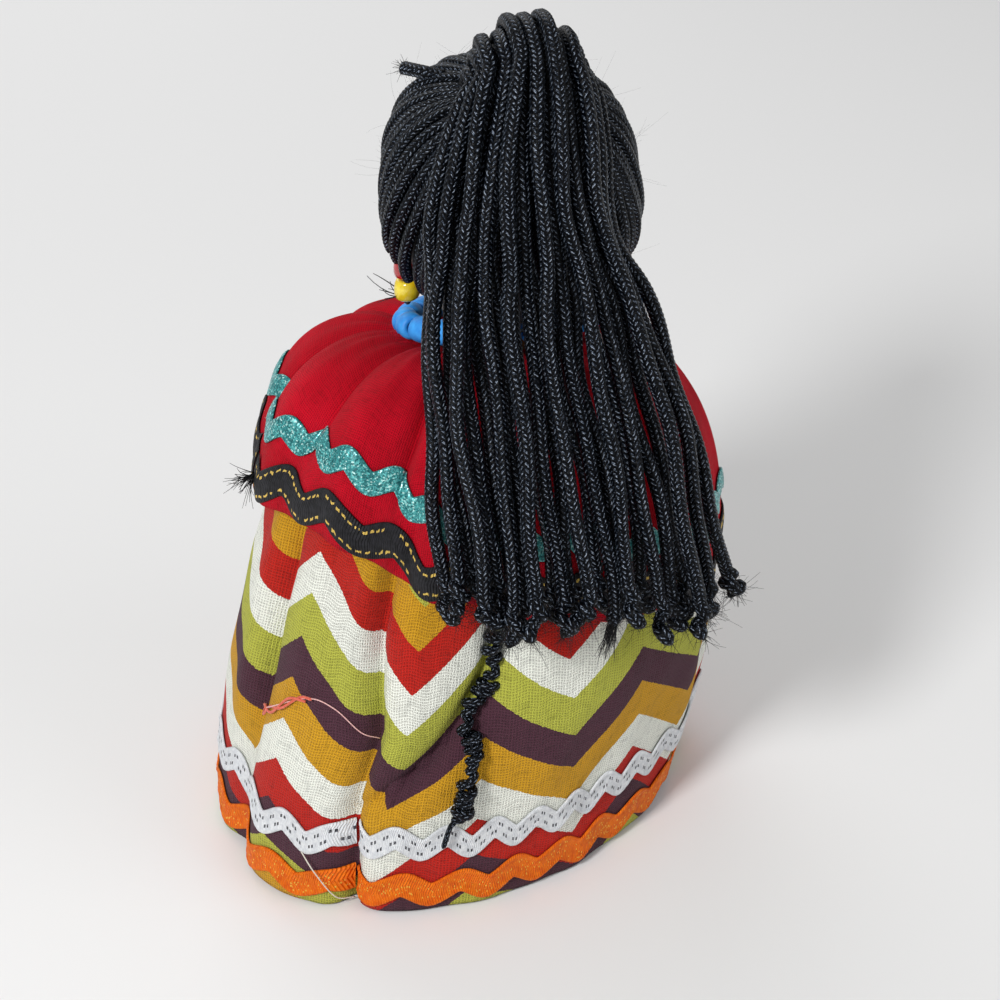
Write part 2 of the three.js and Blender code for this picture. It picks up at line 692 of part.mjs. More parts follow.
const neckHole = 144;
const headOuter = headRings(0, 4, neckHole, 7, 18);
const headInner = headRings(HUSK_THICKNESS, 4, neckHole, 6, 18);
add('head_husk', loft([...headOuter, ...headInner.reverse()]), HUSK, 0.95);
add('head_stuffing', loft(headRings(HUSK_THICKNESS + GAP + 1, 6, 128, 6, 12)), 0x8a6238, 1);
add('eye_left', faceStitch(4.6, 2.2, 3.6, 2, 4), 0xf2efe6, 0.7);
add('eye_right', faceStitch(-4.6, 2.2, 3.6, 2, -4), 0xf2efe6, 0.7);
add('brow_left', faceStitch(4.7, 5, 4.2, 0.8, -8), 0x1a1512, 0.8);
add('brow_right', faceStitch(-4.7, 5, 4.2, 0.8, 8), 0x1a1512, 0.8);
add('mouth', faceStitch(0, -4.6, 4.6, 1.3, 0), 0xb0202c, 0.7);

add('skirt', skirtCloth.shell(CLOTH_THICKNESS, true), 0xc9a53a, 0.85);
add('waist_thread', woundThread(15.55, 12.55, WAIST_Z + GAP, 0.7, 1), 0xd8d2c4, 0.8);
add('skirt_rickrack_white', skirtCloth.rickrack(WHITE), 0xdfe3e6, 0.7);
add('skirt_rickrack_orange', skirtCloth.rickrack(ORANGE), 0xe0680f, 0.6);
add('cape', capeCloth.shell(CLOTH_THICKNESS, false), 0xb81628, 0.85);
const neckThread = CAPE_NECK_RADIUS - GAP - 0.4;
const neckThreadZ = CAPE_NECK_Z - CAPE_DIP - 0.5;
const neckThreadRing = woundThread(neckThread, neckThread, neckThreadZ, 0.4, 1, CAPE_NECK_RISE);
add('cape_neck_thread', neckThreadRing, 0x8c1020, 0.8);
add('cape_rickrack_teal', capeCloth.rickrack(TEAL), 0x3f9a98, 0.4);
add('cape_rickrack_black', capeCloth.rickrack(BLACK), 0x24242a, 0.6);

add('scalp_cords', scalpCords(), BLACK_CORD, 0.5);
const tieRun = [
  [-1, 0.6], [-0.96, 1], [-0.64, 1], [-0.32, 1], [0, 1], [0.32, 1], [0.64, 1], [0.96, 1], [1, 0.6],
];
const tiePoints = tieRun.map(([k]) => {
  const x = k * TIE_HALF_LENGTH;
  return vec(tieAxis.x + TIE_MIDDLE + x, tieAxis.y, tieAxis.z - TIE_BOW * x * x);
});
add('hair_tie', loft(tubeRings(tiePoints, tieRun.map(([, r]) => r * TIE_RADIUS), 10)), 0x0e0f12, 0.7);
tailCords.forEach((cord, i) => {
  const points = tailPoints(cord, (i + 0.5) / tailCords.length);
  const name = `tail_cord_${String(i + 1).padStart(2, '0')}`;
  add(name, loft(tubeRings(points, CORD_DIAMETER / 2, 8)), BLACK_CORD, 0.5);
});
const curl = curlPoints();
console.log('curly cord, least gap to itself in mm:', leastGap(curl, CURL_WIRE).toFixed(2));
add('curly_cord', loft(tubeRings(curl, CURL_WIRE / 2, 5)), BLACK_CORD, 0.5);

add('necklace', strand(), 0x2f97e7, 0.4);
for (const [side, name] of [[1, 'left'], [-1, 'right']]) {
  add(`earring_${name}_thread`, earringThread(earringX(side)), 0x111111, 0.8);
  add(`earring_${name}_red_bead`, ringBead(earringX(side), RED_BEAD_Z), 0xc81e28, 0.25);
  add(`earring_${name}_yellow_bead`, ringBead(earringX(side), YELLOW_BEAD_Z), 0xe6d22a, 0.25);
}

export default doll;
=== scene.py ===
import math

import bpy
import numpy as np
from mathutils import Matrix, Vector
from numpy import arange, array, clip, concatenate, cos, interp, linspace, maximum, minimum
from numpy import radians, sin, sqrt

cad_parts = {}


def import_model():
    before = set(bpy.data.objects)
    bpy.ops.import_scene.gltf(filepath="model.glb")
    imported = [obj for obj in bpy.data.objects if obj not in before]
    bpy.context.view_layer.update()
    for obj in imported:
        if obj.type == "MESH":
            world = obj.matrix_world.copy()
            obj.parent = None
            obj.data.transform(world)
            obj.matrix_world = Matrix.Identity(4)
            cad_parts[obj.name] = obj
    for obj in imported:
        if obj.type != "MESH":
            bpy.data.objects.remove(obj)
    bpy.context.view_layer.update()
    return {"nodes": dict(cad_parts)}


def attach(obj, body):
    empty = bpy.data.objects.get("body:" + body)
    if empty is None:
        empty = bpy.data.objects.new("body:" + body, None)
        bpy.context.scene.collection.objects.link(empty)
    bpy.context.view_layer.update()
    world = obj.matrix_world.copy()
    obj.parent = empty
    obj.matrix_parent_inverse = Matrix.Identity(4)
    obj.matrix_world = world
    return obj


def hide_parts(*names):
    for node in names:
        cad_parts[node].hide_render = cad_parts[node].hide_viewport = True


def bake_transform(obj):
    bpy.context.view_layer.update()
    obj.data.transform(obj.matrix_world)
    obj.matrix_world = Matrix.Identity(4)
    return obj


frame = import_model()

# A small stuffed doll of coconut husk that stands on its skirt, seen from behind.
# Shapes are worked out in millimetres on the upright doll, then leant over and
# scaled to metres by world(). Angles run from the back (+Y) towards +X.

rng = np.random.default_rng(7)

TURN = 2 * np.pi
X_AXIS, Y_AXIS = array([1.0, 0, 0]), array([0, 1.0, 0])
SIDES = ((1, "left"), (-1, "right"))
METRES_PER_MM = 0.001
LEAN = 0.097
HEAD_X, HEAD_Z = 0.8, 99.5
HEAD_HALF = array([14.4, 14.0, 14.5])
HEAD_SQUARENESS = 2.4
WAIST_Z, HEM_Z = 66.5, 0.4
SKIRT_SEAM, CAPE_SEAM = 36.5, -150
CAPE_NECK_R, CAPE_NECK_Z = 9.4, 78.5
CORD = 1.9
SCALP_IN = 0.6
SCALP_OUT = SCALP_IN + CORD
TIE_TILT = math.radians(25)
TIE_MIDDLE, TIE_HALF, TIE_RADIUS, TIE_BOW = -0.6, 8.2, 0.8, 0.014


# Curves and paths
def smooth(x, a, b):
    """Rises softly from 0 at a to 1 at b."""
    t = clip((np.asarray(x, float) - a) / (b - a), 0, 1)
    return t * t * (3 - 2 * t)


def hill(x, middle, width):
    return np.exp(-(((x - middle) / width) ** 2))


def bump(angle, middle, width):
    """A hill round an angle in degrees."""
    away = (np.asarray(angle, float) - middle + 180) % 360 - 180
    return hill(away, 0, width)


def hermite(x, xs, ys):
    """A smooth curve through the points, xs rising."""
    xs, ys = np.asarray(xs, float), np.asarray(ys, float)
    m = np.gradient(ys, xs)
    i = clip(np.searchsorted(xs, x) - 1, 0, len(xs) - 2)
    h = xs[i + 1] - xs[i]
    t = clip((x - xs[i]) / h, 0, 1)
    return ((2 * t**3 - 3 * t**2 + 1) * ys[i] + (t**3 - 2 * t**2 + t) * h * m[i]
            + (-2 * t**3 + 3 * t**2) * ys[i + 1] + (t**3 - t**2) * h * m[i + 1])


def unit(v):
    return v / np.linalg.norm(v, axis=-1, keepdims=True)


def stacked(*parts):
    """Joins values, broadcast together, along a new last axis."""
    return np.stack(np.broadcast_arrays(*parts), -1)


def world(p):
    q = array(p, float)
    q[..., 0] -= LEAN * q[..., 2]
    return q * METRES_PER_MM


def plumb(p, height):
    """Undoes the lean from a height on, so that what hangs or stands there is upright."""
    q = array(p, float)
    q[..., 0] += LEAN * (q[..., 2] - height)
    return q


def length(path):
    return float(np.linalg.norm(np.diff(path, axis=0), axis=1).sum())


def distance_along(path):
    """How far along a path, or along each column of a grid, the points lie."""
    step = np.linalg.norm(np.diff(path, axis=0), axis=-1)
    return concatenate([np.zeros_like(step[:1]), np.cumsum(step, axis=0)])


def points_at(path, distances):
    gone = distance_along(path)
    return stacked(*(interp(distances, gone, path[:, k]) for k in range(3)))


def resample(path, step):
    whole = distance_along(path)[-1]
    count = max(int(round(whole / step)), 3)
    return points_at(path, linspace(0, whole, count + 1))


def spline(points, step):
    """Points every step mm along a smooth curve through the given ones."""
    p = np.asarray(points, float)
    p = np.vstack([2 * p[0] - p[1], p, 2 * p[-1] - p[-2]])
    t = linspace(0, 1, 24, endpoint=False)[:, None]
    runs = []
    for a, b, c, d in zip(p, p[1:], p[2:], p[3:]):
        square, cube = 2 * a - 5 * b + 4 * c - d, 3 * b - a - 3 * c + d
        runs.append(0.5 * (2 * b + (c - a) * t + square * t**2 + cube * t**3))
    return resample(np.vstack(runs + [p[-2][None]]), step)


def directions(path):
    along = unit(np.gradient(path, axis=0))
    side = X_AXIS if abs(along[0, 0]) < 0.9 else Y_AXIS
    sides = np.empty_like(along)
    for i, d in enumerate(along):
        side = side - d * (side @ d)
        side = side / np.linalg.norm(side)
        sides[i] = side
    return along, sides, np.cross(along, sides)


# Meshes
def in_scene(name, data):
    obj = bpy.data.objects.new(name, data)
    bpy.context.scene.collection.objects.link(obj)
    return obj


class Piece:
    """Gathers vertices and faces, then makes one named object of them."""

    def __init__(self, name):
        self.name, self.points, self.runs, self.count = name, [], [], 0

    def add(self, points, faces, uv=None, material=0):
        points = np.asarray(points, float).reshape(-1, 3)
        self.points.append(points)
        self.runs.append((np.asarray(faces, int) + self.count, uv, material))
        self.count += len(points)
        return self

    def close_ends(self, rows, columns):
        """Closes the first and the last ring of the grid added first with a face each."""
        rings = arange(rows * columns).reshape(rows, columns)
        for ring in (rings[0], rings[-1][::-1]):
            self.runs.append((ring[None], None, 0))
        return self

    def make(self, materials, body=None, slot=None, nodes=(), layers=("cloth",)):
        """Makes the object, which rides on a body and is shown in place of the nodes."""
        mesh = bpy.data.meshes.new(self.name)
        points = world(np.vstack(self.points))
        mesh.vertices.add(len(points))
        mesh.vertices.foreach_set("co", points.astype(np.float32).ravel())
        corners = concatenate([f.ravel() for f, _, _ in self.runs])
        sizes = concatenate([np.full(len(f), f.shape[1]) for f, _, _ in self.runs])
        mesh.loops.add(len(corners))
        mesh.loops.foreach_set("vertex_index", corners.astype(np.int32))
        mesh.polygons.add(len(sizes))
        starts = concatenate([[0], np.cumsum(sizes)[:-1]])
        mesh.polygons.foreach_set("loop_start", starts.astype(np.int32))
        mesh.polygons.foreach_set("use_smooth", np.ones(len(sizes), bool))
        marks = concatenate([np.full(len(f), m) for f, _, m in self.runs])
        mesh.polygons.foreach_set("material_index", marks.astype(np.int32))
        if any(uv is not None for _, uv, _ in self.runs):
            for k, layer in enumerate(layers):
                flat = []
                for f, uv, _ in self.runs:
                    blank = np.zeros((f.size, 2))
                    flat.append(blank if uv is None else uv.reshape(f.size, -1)[:, 2 * k:2 * k + 2])
                data = mesh.uv_layers.new(name=layer)
                data.data.foreach_set("uv", np.vstack(flat).astype(np.float32).ravel())
        mesh.update(calc_edges=True)
        mesh.validate()
        obj = in_scene(self.name, mesh)
        for m in materials if isinstance(materials, list) else [materials]:
            mesh.materials.append(m)
        if body:
            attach(obj, body)
        if nodes:
            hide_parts(*nodes)
        return obj


def grid_faces(rows, columns):
    """Faces of a grid whose last column joins its first."""
    i, j = np.meshgrid(arange(rows - 1), arange(columns), indexing="ij")
    i, j = i.ravel(), j.ravel()
    k = (j + 1) % columns
    return np.stack([i * columns + j, i * columns + k, (i + 1) * columns + k, (i + 1) * columns + j], 1)


def ring_faces(rows, columns):
    """The same, with the last row joined to the first as well."""
    return grid_faces(rows + 1, columns) % (rows * columns)


def grid_uv(uv):
    """Corner values for a grid whose uv has one more column than the joined points."""
    corners = [uv[:-1, :-1], uv[:-1, 1:], uv[1:, 1:], uv[1:, :-1]]
    return np.stack(corners, 2).reshape(-1, 4, uv.shape[-1])


def tube(path, radius, sides, relief=None, roll=0.0):
    """A closed tube along a path; relief(turn, along) scales its radius."""
    path = np.asarray(path, float)
    n = len(path)
    _, side, other = directions(path)
    gone = distance_along(path)
    turn = TURN * (arange(sides) + 0.5) / sides
    r = np.broadcast_to(np.asarray(radius, float), (n,))[:, None] * np.ones((1, sides))
    if relief:
        r = r * relief(turn[None, :] + roll, gone[:, None])
    ring = path[:, None] + r[..., None] * (side[:, None] * cos(turn)[None, :, None]
                                           + other[:, None] * sin(turn)[None, :, None])
    points = np.vstack([ring.reshape(-1, 3), path[:1], path[-1:]])
    body = grid_faces(n, sides)
    j = arange(sides)
    k = (j + 1) % sides
    first = np.stack([np.full(sides, n * sides), k, j], 1)
    last = np.stack([np.full(sides, n * sides + 1), (n - 1) * sides + j, (n - 1) * sides + k], 1)
    return points, body[:, ::-1], np.vstack([first, last])[:, ::-1], gone


STRAND_SLANT = 0.95
BRAID_COLUMNS, BRAID_PITCH, BRAID_DEPTH = 4, 0.78, 0.15


def add_tube(piece, path, radius, sides, relief=None, roll=0.0, material=0, period=None):
    points, quads, ends, gone = tube(path, radius, sides, relief, roll)
    uv = None
    if period:
        column = BRAID_COLUMNS * ((arange(sides + 1) + 0.5) / sides + roll / TURN)
        uv = grid_uv(stacked(column[None], gone[:, None] / period))[:, ::-1]
    start = piece.count
    piece.add(points, quads, uv, material)
    piece.runs.append((ends + start, None, material))
    return piece


def plait(period, depth):
    """Slanted strands in columns round a cord, each the mirror of the next."""
    def relief(turn, along):
        u = (turn / TURN) % 1 * BRAID_COLUMNS
        k = np.floor(u)
        f = u - k
        slant = np.where(k % 2 == 0, 1, -1)
        phase = along / period + slant * STRAND_SLANT * (f - 0.5) + 0.5 * (k % 2)
        lobe = (0.5 + 0.5 * cos(TURN * phase)) ** 0.6
        edge = sin(np.pi * clip(f, 0.02, 0.98)) ** 0.5
        return 1 - depth + 1.05 * depth * (0.25 * edge + 0.75 * lobe * edge)
    return relief


def add_braid(piece, path, radius, sides=12, roll=0.0):
    return add_tube(piece, path, radius, sides, plait(BRAID_PITCH, BRAID_DEPTH), roll, period=BRAID_PITCH)


# Materials
def rgb(r, g, b):
    def lin(c):
        c /= 255
        return c / 12.92 if c <= 0.04045 else ((c + 0.055) / 1.055) ** 2.4
    return (lin(r), lin(g), lin(b), 1)


WEAVE_STRAY = 1.5
SLUB_STRETCH = 0.12


class Finish:
    """A material's node tree, written step by step."""

    def __init__(self, name, roughness, specular, sheen=0.0):
        self.material = bpy.data.materials.new(name)
        self.material.use_nodes = True
        self.tree = self.material.node_tree
        self.set("Roughness", roughness)
        self.set("Specular IOR Level", specular)
        self.set("Sheen Weight", sheen)

    def put(self, socket, value):
        if isinstance(value, bpy.types.NodeSocket):
            self.tree.links.new(value, socket)
        else:
            socket.default_value = value

    def set(self, name, value):
        self.put(self.tree.nodes["Principled BSDF"].inputs[name], value)

    def node(self, kind, inputs, **settings):
        """Adds a node and gives its outputs."""
        n = self.tree.nodes.new("ShaderNode" + kind)
        for key, value in settings.items():
            setattr(n, key, value)
        for key, value in inputs.items():
            self.put(n.inputs[key], value)
        return n.outputs

    def math(self, operation, a, b=0.0, c=0.0, clamp=False):
        return self.node("Math", {0: a, 1: b, 2: c}, operation=operation, use_clamp=clamp)[0]

    def times(self, a, b):
        return self.math("MULTIPLY", a, b)

    def plus(self, a, b):
        return self.math("ADD", a, b)

    def linear(self, value, scale, offset):
        return self.math("MULTIPLY_ADD", value, scale, offset)

    def cosine(self, value):
        return self.math("COSINE", value)

    def uv(self, layer):
        whole = self.node("UVMap", {}, uv_map=layer)[0]
        parts = self.node("SeparateXYZ", {0: whole})
        return parts[0], parts[1], whole

    def spread(self, x, y):
        return self.node("CombineXYZ", {0: x, 1: y})[0]

    def place(self, scale=(1, 1, 1)):
        here = self.node("TexCoord", {})["Object"]
        return self.node("Mapping", {0: here, "Scale": scale})[0]

    def noise(self, vector, scale, detail, rough=0.5):
        values = {"Vector": vector, "Scale": scale, "Detail": detail, "Roughness": rough}
        return self.node("TexNoise", values)[0]

    def cells(self, vector, scale):
        found = self.node("TexVoronoi", {"Vector": vector, "Scale": scale})
        return found["Distance"], found["Color"]

    def ramp(self, value, stops, constant=False):
        n = self.tree.nodes.new("ShaderNodeValToRGB")
        r = n.color_ramp
        r.interpolation = "CONSTANT" if constant else "LINEAR"
        while len(r.elements) < len(stops):
            r.elements.new(1.0)
        for e, (at, colour) in zip(r.elements, stops):
            e.position = at
            e.color = colour if isinstance(colour, tuple) else (colour, colour, colour, 1)
        self.put(n.inputs[0], value)
        return n.outputs[0]

    def mottle(self, scale, detail, dark, light):
        """A noise over the object, and the colours that it mixes."""
        patch = self.noise(self.place(), scale, detail)
        return patch, self.ramp(patch, [(0.3, dark), (0.7, light)])

    def mix(self, share, a, b, how="MIX"):
        return self.node("Mix", {0: share, 6: a, 7: b}, data_type="RGBA", blend_type=how)[2]

    def done(self, colour, height, distance, strength):
        """Sets the colour and the fine relief, and gives the material."""
        self.set("Base Color", colour)
        relief = {"Height": height, "Distance": distance, "Strength": strength}
        self.set("Normal", self.node("Bump", relief)[0])
        return self.material

    def weave(self, pitch):
        """A plain weave on a uv in mm: its height, the pinholes in it and its thick threads."""
        u, v, whole = self.uv("cloth")
        stray = self.times(self.noise(whole, 0.9, 2.0), WEAVE_STRAY)
        slub = self.plus(self.slubs(u, v, pitch), self.slubs(v, u, pitch))
        a = self.plus(self.times(u, TURN / pitch), stray)
        b = self.plus(self.times(v, TURN / pitch), stray)
        wave_a, wave_b = self.cosine(a), self.cosine(b)
        over = self.times(self.cosine(self.times(a, 0.5)), self.cosine(self.times(b, 0.5)))
        warp = self.plus(self.times(wave_a, -0.5), self.times(over, 0.5))
        weft = self.plus(self.times(wave_b, -0.5), self.times(over, -0.5))
        hole = self.times(self.linear(wave_a, 0.5, 0.5), self.linear(wave_b, 0.5, 0.5))
        return self.math("MAXIMUM", warp, weft), self.math("POWER", hole, 2.0), slub

    def slubs(self, across, along, pitch):
        line = self.spread(self.times(across, 1 / pitch), self.times(along, SLUB_STRETCH / pitch))
        return self.noise(line, 1.0, 1.0)


def cotton(name, colour_of, pitch, sheen):
    f = Finish(name, roughness=0.85, specular=0.12, sheen=sheen)
    f.set("Sheen Roughness", 0.5)
    height, hole, slub = f.weave(pitch)
    tone = f.ramp(slub, [(0.6, 0.78), (1.4, 1.08)])
    dye_and_weave_shade = f.mix(1.0, colour_of(f), tone, "MULTIPLY")
    # Painted shade between the threads: the low parts of the weave are darkened.
    dye_and_weave_shade = f.mix(1.0, dye_and_weave_shade, f.ramp(height, [(0.0, 0.86), (0.75, 1.08)]), "MULTIPLY")
    # Painted shade in the pinholes: they are darkened towards a dark brown-grey.
    dark = f.mix(1.0, dye_and_weave_shade, (0.4, 0.36, 0.35, 1), "MULTIPLY")
    colour = f.mix(f.times(hole, 0.7), dye_and_weave_shade, dark)
    return f.done(colour, f.plus(height, f.times(slub, 0.5)), 0.00018, 1.0)


MUSTARD, RED, WHITE = rgb(202, 150, 32), rgb(186, 34, 24), rgb(234, 236, 226)
GREEN, PLUM = rgb(178, 180, 72), rgb(78, 46, 58)
BANDS = [MUSTARD, RED, WHITE, GREEN, PLUM, MUSTARD, WHITE, RED, PLUM, GREEN]
CHEVRON_RISE = 3.14


def chevrons(f):
    u, v, _ = f.uv("print")
    bleed = f.noise(f.uv("cloth")[2], 2.2, 2.0)
    s = f.linear(f.math("PINGPONG", u, 0.5), CHEVRON_RISE, v)
    s = f.plus(s, f.times(f.math("SUBTRACT", bleed, 0.5), 0.08))
    share = f.math("FRACT", f.times(s, 1 / len(BANDS)))
    return f.ramp(share, [(i / len(BANDS), c) for i, c in enumerate(BANDS)], True)


def plain_red(f):
    return f.mottle(120.0, 2.0, rgb(178, 2, 26), rgb(206, 6, 36))[1]


def braid_finish():
    """Polished cord: satin strands in slanted columns, two to each that plait() shapes; the strand crests are
    painted with light streaks as painted glints, and the grooves between them painted near-black as painted
    shade.
    """
    f = Finish("hair_cord", roughness=0.32, specular=0.1)
    u, v, _ = f.uv("cloth")
    across = f.math("FRACT", f.times(u, 2.0))
    odd = f.math("GREATER_THAN", f.math("FRACT", u), 0.5)
    run = f.linear(across, STRAND_SLANT, -STRAND_SLANT / 2)
    run = f.times(f.linear(odd, -2.0, 1.0), run)
    phase = f.plus(f.plus(v, run), f.times(odd, 0.5))
    patch = f.noise(f.place(), 2600.0, 2.0)
    lobe = f.linear(f.cosine(f.times(phase, TURN)), 0.5, 0.5)
    strand = f.times(lobe, f.math("SINE", f.times(across, math.pi)))
    fibre = f.linear(f.cosine(f.linear(phase, 3 * TURN, f.times(patch, 9.0))), 0.3, 0.7)
    spark = f.noise(f.place(), 4300.0, 1.0)
    # Painted glints and painted shade: light streaks on the strand crests, broken up by noise, and near-black
    # in the grooves between strands.
    painted_glint = f.times(f.times(f.math("POWER", strand, 0.6), fibre), f.linear(spark, 3.4, -0.7))
    colour = f.ramp(painted_glint, [(0.28, rgb(1, 2, 5)), (0.54, rgb(15, 20, 28)), (0.78, rgb(74, 85, 101)),
                          (1.0, rgb(150, 160, 175))])
    return f.done(colour, f.plus(strand, f.times(fibre, 0.3)), 0.00016, 0.9)


def fibre_finish():
    f = Finish("black_fibre", roughness=0.5, specular=0.25)
    patch = f.noise(f.place(), 900.0, 3.0)
    fine = f.noise(f.place((1, 1, 0.35)), 9000.0, 2.0)
    f.set("Roughness", f.linear(fine, 0.25, 0.4))
    return f.done(f.ramp(patch, [(0.3, rgb(4, 5, 7)), (0.75, rgb(16, 18, 22))]), fine, 0.00005, 0.7)


def husk_finish(name, dark, light):
    f = Finish(name, roughness=0.9, specular=0.2)
    grain = f.noise(f.place((1, 1, 0.12)), 2600.0, 4.0, 0.65)
    cross = f.noise(f.place((0.15, 0.6, 1)), 1900.0, 3.0, 0.6)
    both = f.plus(f.times(grain, 0.6), f.times(cross, 0.4))
    return f.done(f.ramp(both, [(0.34, dark), (0.66, light)]), both, 0.0005, 0.9)


def thread_finish(name, dark, light):
    f = Finish(name, roughness=0.6, specular=0.4, sheen=0.2)
    strand, tone = f.mottle(5200.0, 2.0, dark, light)
    return f.done(tone, strand, 0.00008, 0.8)


def card_finish():
    f = Finish("cardboard", roughness=0.92, specular=0.2)
    fibre = f.noise(f.place((1, 0.25, 1)), 1400.0, 5.0, 0.7)
    patch = f.noise(f.place(), 90.0, 2.0)
    both = f.plus(f.times(fibre, 0.6), f.times(patch, 0.4))
    tone = f.ramp(both, [(0.35, rgb(140, 112, 76)), (0.65, rgb(178, 148, 106))])
    return f.done(tone, fibre, 0.00012, 0.6)


def glass_finish(name, deep, pale):
    f = Finish(name, roughness=0.12, specular=0.6)
    f.set("Coat Weight", 0.6)
    f.set("Coat Roughness", 0.06)
    swirl, tone = f.mottle(420.0, 3.0, deep, pale)
    return f.done(tone, swirl, 0.00006, 0.3)


def matte_bead():
    f = Finish("blue_bead", roughness=0.5, specular=0.4)
    chalk, tone = f.mottle(700.0, 4.0, rgb(32, 126, 214), rgb(62, 164, 240))
    f.set("Roughness", f.linear(chalk, 0.25, 0.38))
    return f.done(tone, chalk, 0.00008, 0.5)


# A trim's uv is millimetres along, and -1 to 1 across.
def trim_base(name, roughness, specular, rib, grain, dark, light):
    """Starts a trim's finish; rib gives the pitch and slant of its ribs."""
    f = Finish(name, roughness, specular)
    u, v, whole = f.uv("cloth")
    pitch, slant = rib
    slanted = f.linear(f.math("ABSOLUTE", v), slant, u)
    ribs = f.math("SINE", f.times(slanted, TURN / pitch))
    return f, u, v, whole, ribs, f.mottle(grain, 2.0, dark, light)[1]


def dashes(f, u, v, half, rows):
    """Rows of dashes; each row has its place across, period, filled share and start."""
    marks = 0.0
    for at, period, share, start in rows:
        step = f.math("FRACT", f.linear(u, 1 / period, start))
        mark = f.times(f.math("COMPARE", v, at, half), f.math("LESS_THAN", step, share))
        marks = f.math("ADD", marks, mark, clamp=True)
    return marks


def white_trim():
    f, u, v, _, rib, tone = trim_base("white_rickrack", 0.7, 0.3, (0.3, 0.5), 1500.0,
                                      rgb(214, 217, 222), rgb(240, 242, 244))
    # Painted shade: the grooves between the ribs are darkened towards grey.
    painted_rib_shade = f.mix(f.linear(rib, -0.1, 0.1), tone, rgb(158, 162, 170))
    places = ((0.34, 0.0), (0.34, 0.26), (-0.34, 0.5), (-0.34, 0.76))
    marks = dashes(f, u, v, 0.13, [(at, 2.3, 0.15, start) for at, start in places])
    metal = f.noise(f.place(), 3600.0, 1.0)
    metal = f.ramp(metal, [(0.4, rgb(34, 34, 40)), (0.65, rgb(120, 122, 128))])
    return f.done(f.mix(marks, painted_rib_shade, metal), rib, 0.00012, 0.6)


def orange_trim():
    f, u, v, _, rib, tone = trim_base("orange_rickrack", 0.6, 0.25, (0.4, 0.7), 1100.0,
                                      rgb(236, 98, 0), rgb(255, 130, 10))
    # Painted shade: the grooves between the ribs are darkened towards deep orange.
    painted_rib_shade = f.mix(f.linear(rib, -0.1, 0.1), tone, rgb(176, 56, 0))
    flat = f.spread(u, f.times(v, 1.6))
    near, _ = f.cells(flat, 2.3)
    cluster = f.math("GREATER_THAN", f.noise(flat, 0.5, 1.0), 0.46)
    inside = f.math("LESS_THAN", f.math("ABSOLUTE", v), 0.66)
    fleck = f.times(f.times(f.math("LESS_THAN", near, 0.25), inside), cluster)
    f.set("Metallic", f.times(fleck, 0.7))
    return f.done(f.mix(fleck, painted_rib_shade, rgb(252, 212, 96)), rib, 0.00018, 0.7)


def black_trim():
    f, u, v, whole, rib, tone = trim_base("black_rickrack", 0.6, 0.3, (0.4, 0.5), 1500.0,
                                          rgb(13, 13, 16), rgb(36, 36, 41))
    line = f.plus(v, f.linear(f.noise(whole, 1.1, 2.0), 0.5, -0.25))
    gold = dashes(f, u, line, 0.07, [(0.6, 1.1, 0.62, 0.0), (-0.6, 1.3, 0.6, 0.5)])
    gold = f.times(gold, f.math("GREATER_THAN", f.noise(whole, 0.45, 1.0), 0.4))
    f.set("Metallic", f.times(gold, 0.8))
    colour = f.mix(gold, tone, rgb(236, 204, 110))
    return f.done(colour, f.plus(rib, f.times(gold, 1.2)), 0.00012, 0.7)


def teal_trim():
    f = Finish("teal_rickrack", roughness=0.3, specular=0.6)
    _, pick = f.cells(f.place(), 4800.0)
    level, shine, matt = f.node("SeparateColor", {0: pick})
    f.set("Metallic", f.times(shine, 0.6))
    f.set("Roughness", f.linear(matt, 0.4, 0.15))
    colour = f.ramp(level, [(0.0, rgb(20, 92, 96)), (0.55, rgb(52, 142, 144)), (0.85, rgb(96, 190, 188)),
                            (1.0, rgb(200, 240, 234))])
    return f.done(colour, level, 0.0003, 0.8)


chevron_cotton = cotton("chevron_cotton", chevrons, 0.44, 0.06)
red_cotton = cotton("red_cotton", plain_red, 0.32, 0.02)
hair_cord, black_fibre = braid_finish(), fibre_finish()
husk = husk_finish("husk", rgb(78, 48, 26), rgb(146, 100, 58))
husk_light = husk_finish("husk_fibre", rgb(120, 80, 44), rgb(178, 132, 84))
white_stitch = thread_finish("white_stitch", rgb(214, 208, 196), rgb(240, 236, 226))
black_stitch = thread_finish("black_stitch", rgb(16, 13, 12), rgb(38, 33, 30))
red_stitch = thread_finish("red_stitch", rgb(146, 18, 30), rgb(186, 36, 48))
binding = thread_finish("binding", rgb(30, 24, 20), rgb(58, 48, 42))
sewing_thread = thread_finish("sewing_thread", rgb(196, 188, 172), rgb(226, 220, 208))
red_thread = thread_finish("red_thread", rgb(118, 12, 26), rgb(150, 20, 36))
pink_thread = thread_finish("pink_thread", rgb(214, 150, 150), rgb(236, 196, 190))
coral_thread = thread_finish("coral_thread", rgb(196, 74, 54), rgb(226, 112, 88))
tie_thread = thread_finish("tie_thread", rgb(8, 9, 11), rgb(24, 25, 29))
cardboard = card_finish()
red_bead = glass_finish("red_bead", rgb(140, 12, 20), rgb(196, 28, 36))
yellow_bead = glass_finish("yellow_bead", rgb(214, 176, 16), rgb(240, 222, 60))
blue_bead = matte_bead()
white_rickrack, orange_rickrack = white_trim(), orange_trim()
black_rickrack, teal_rickrack = black_trim(), teal_trim()

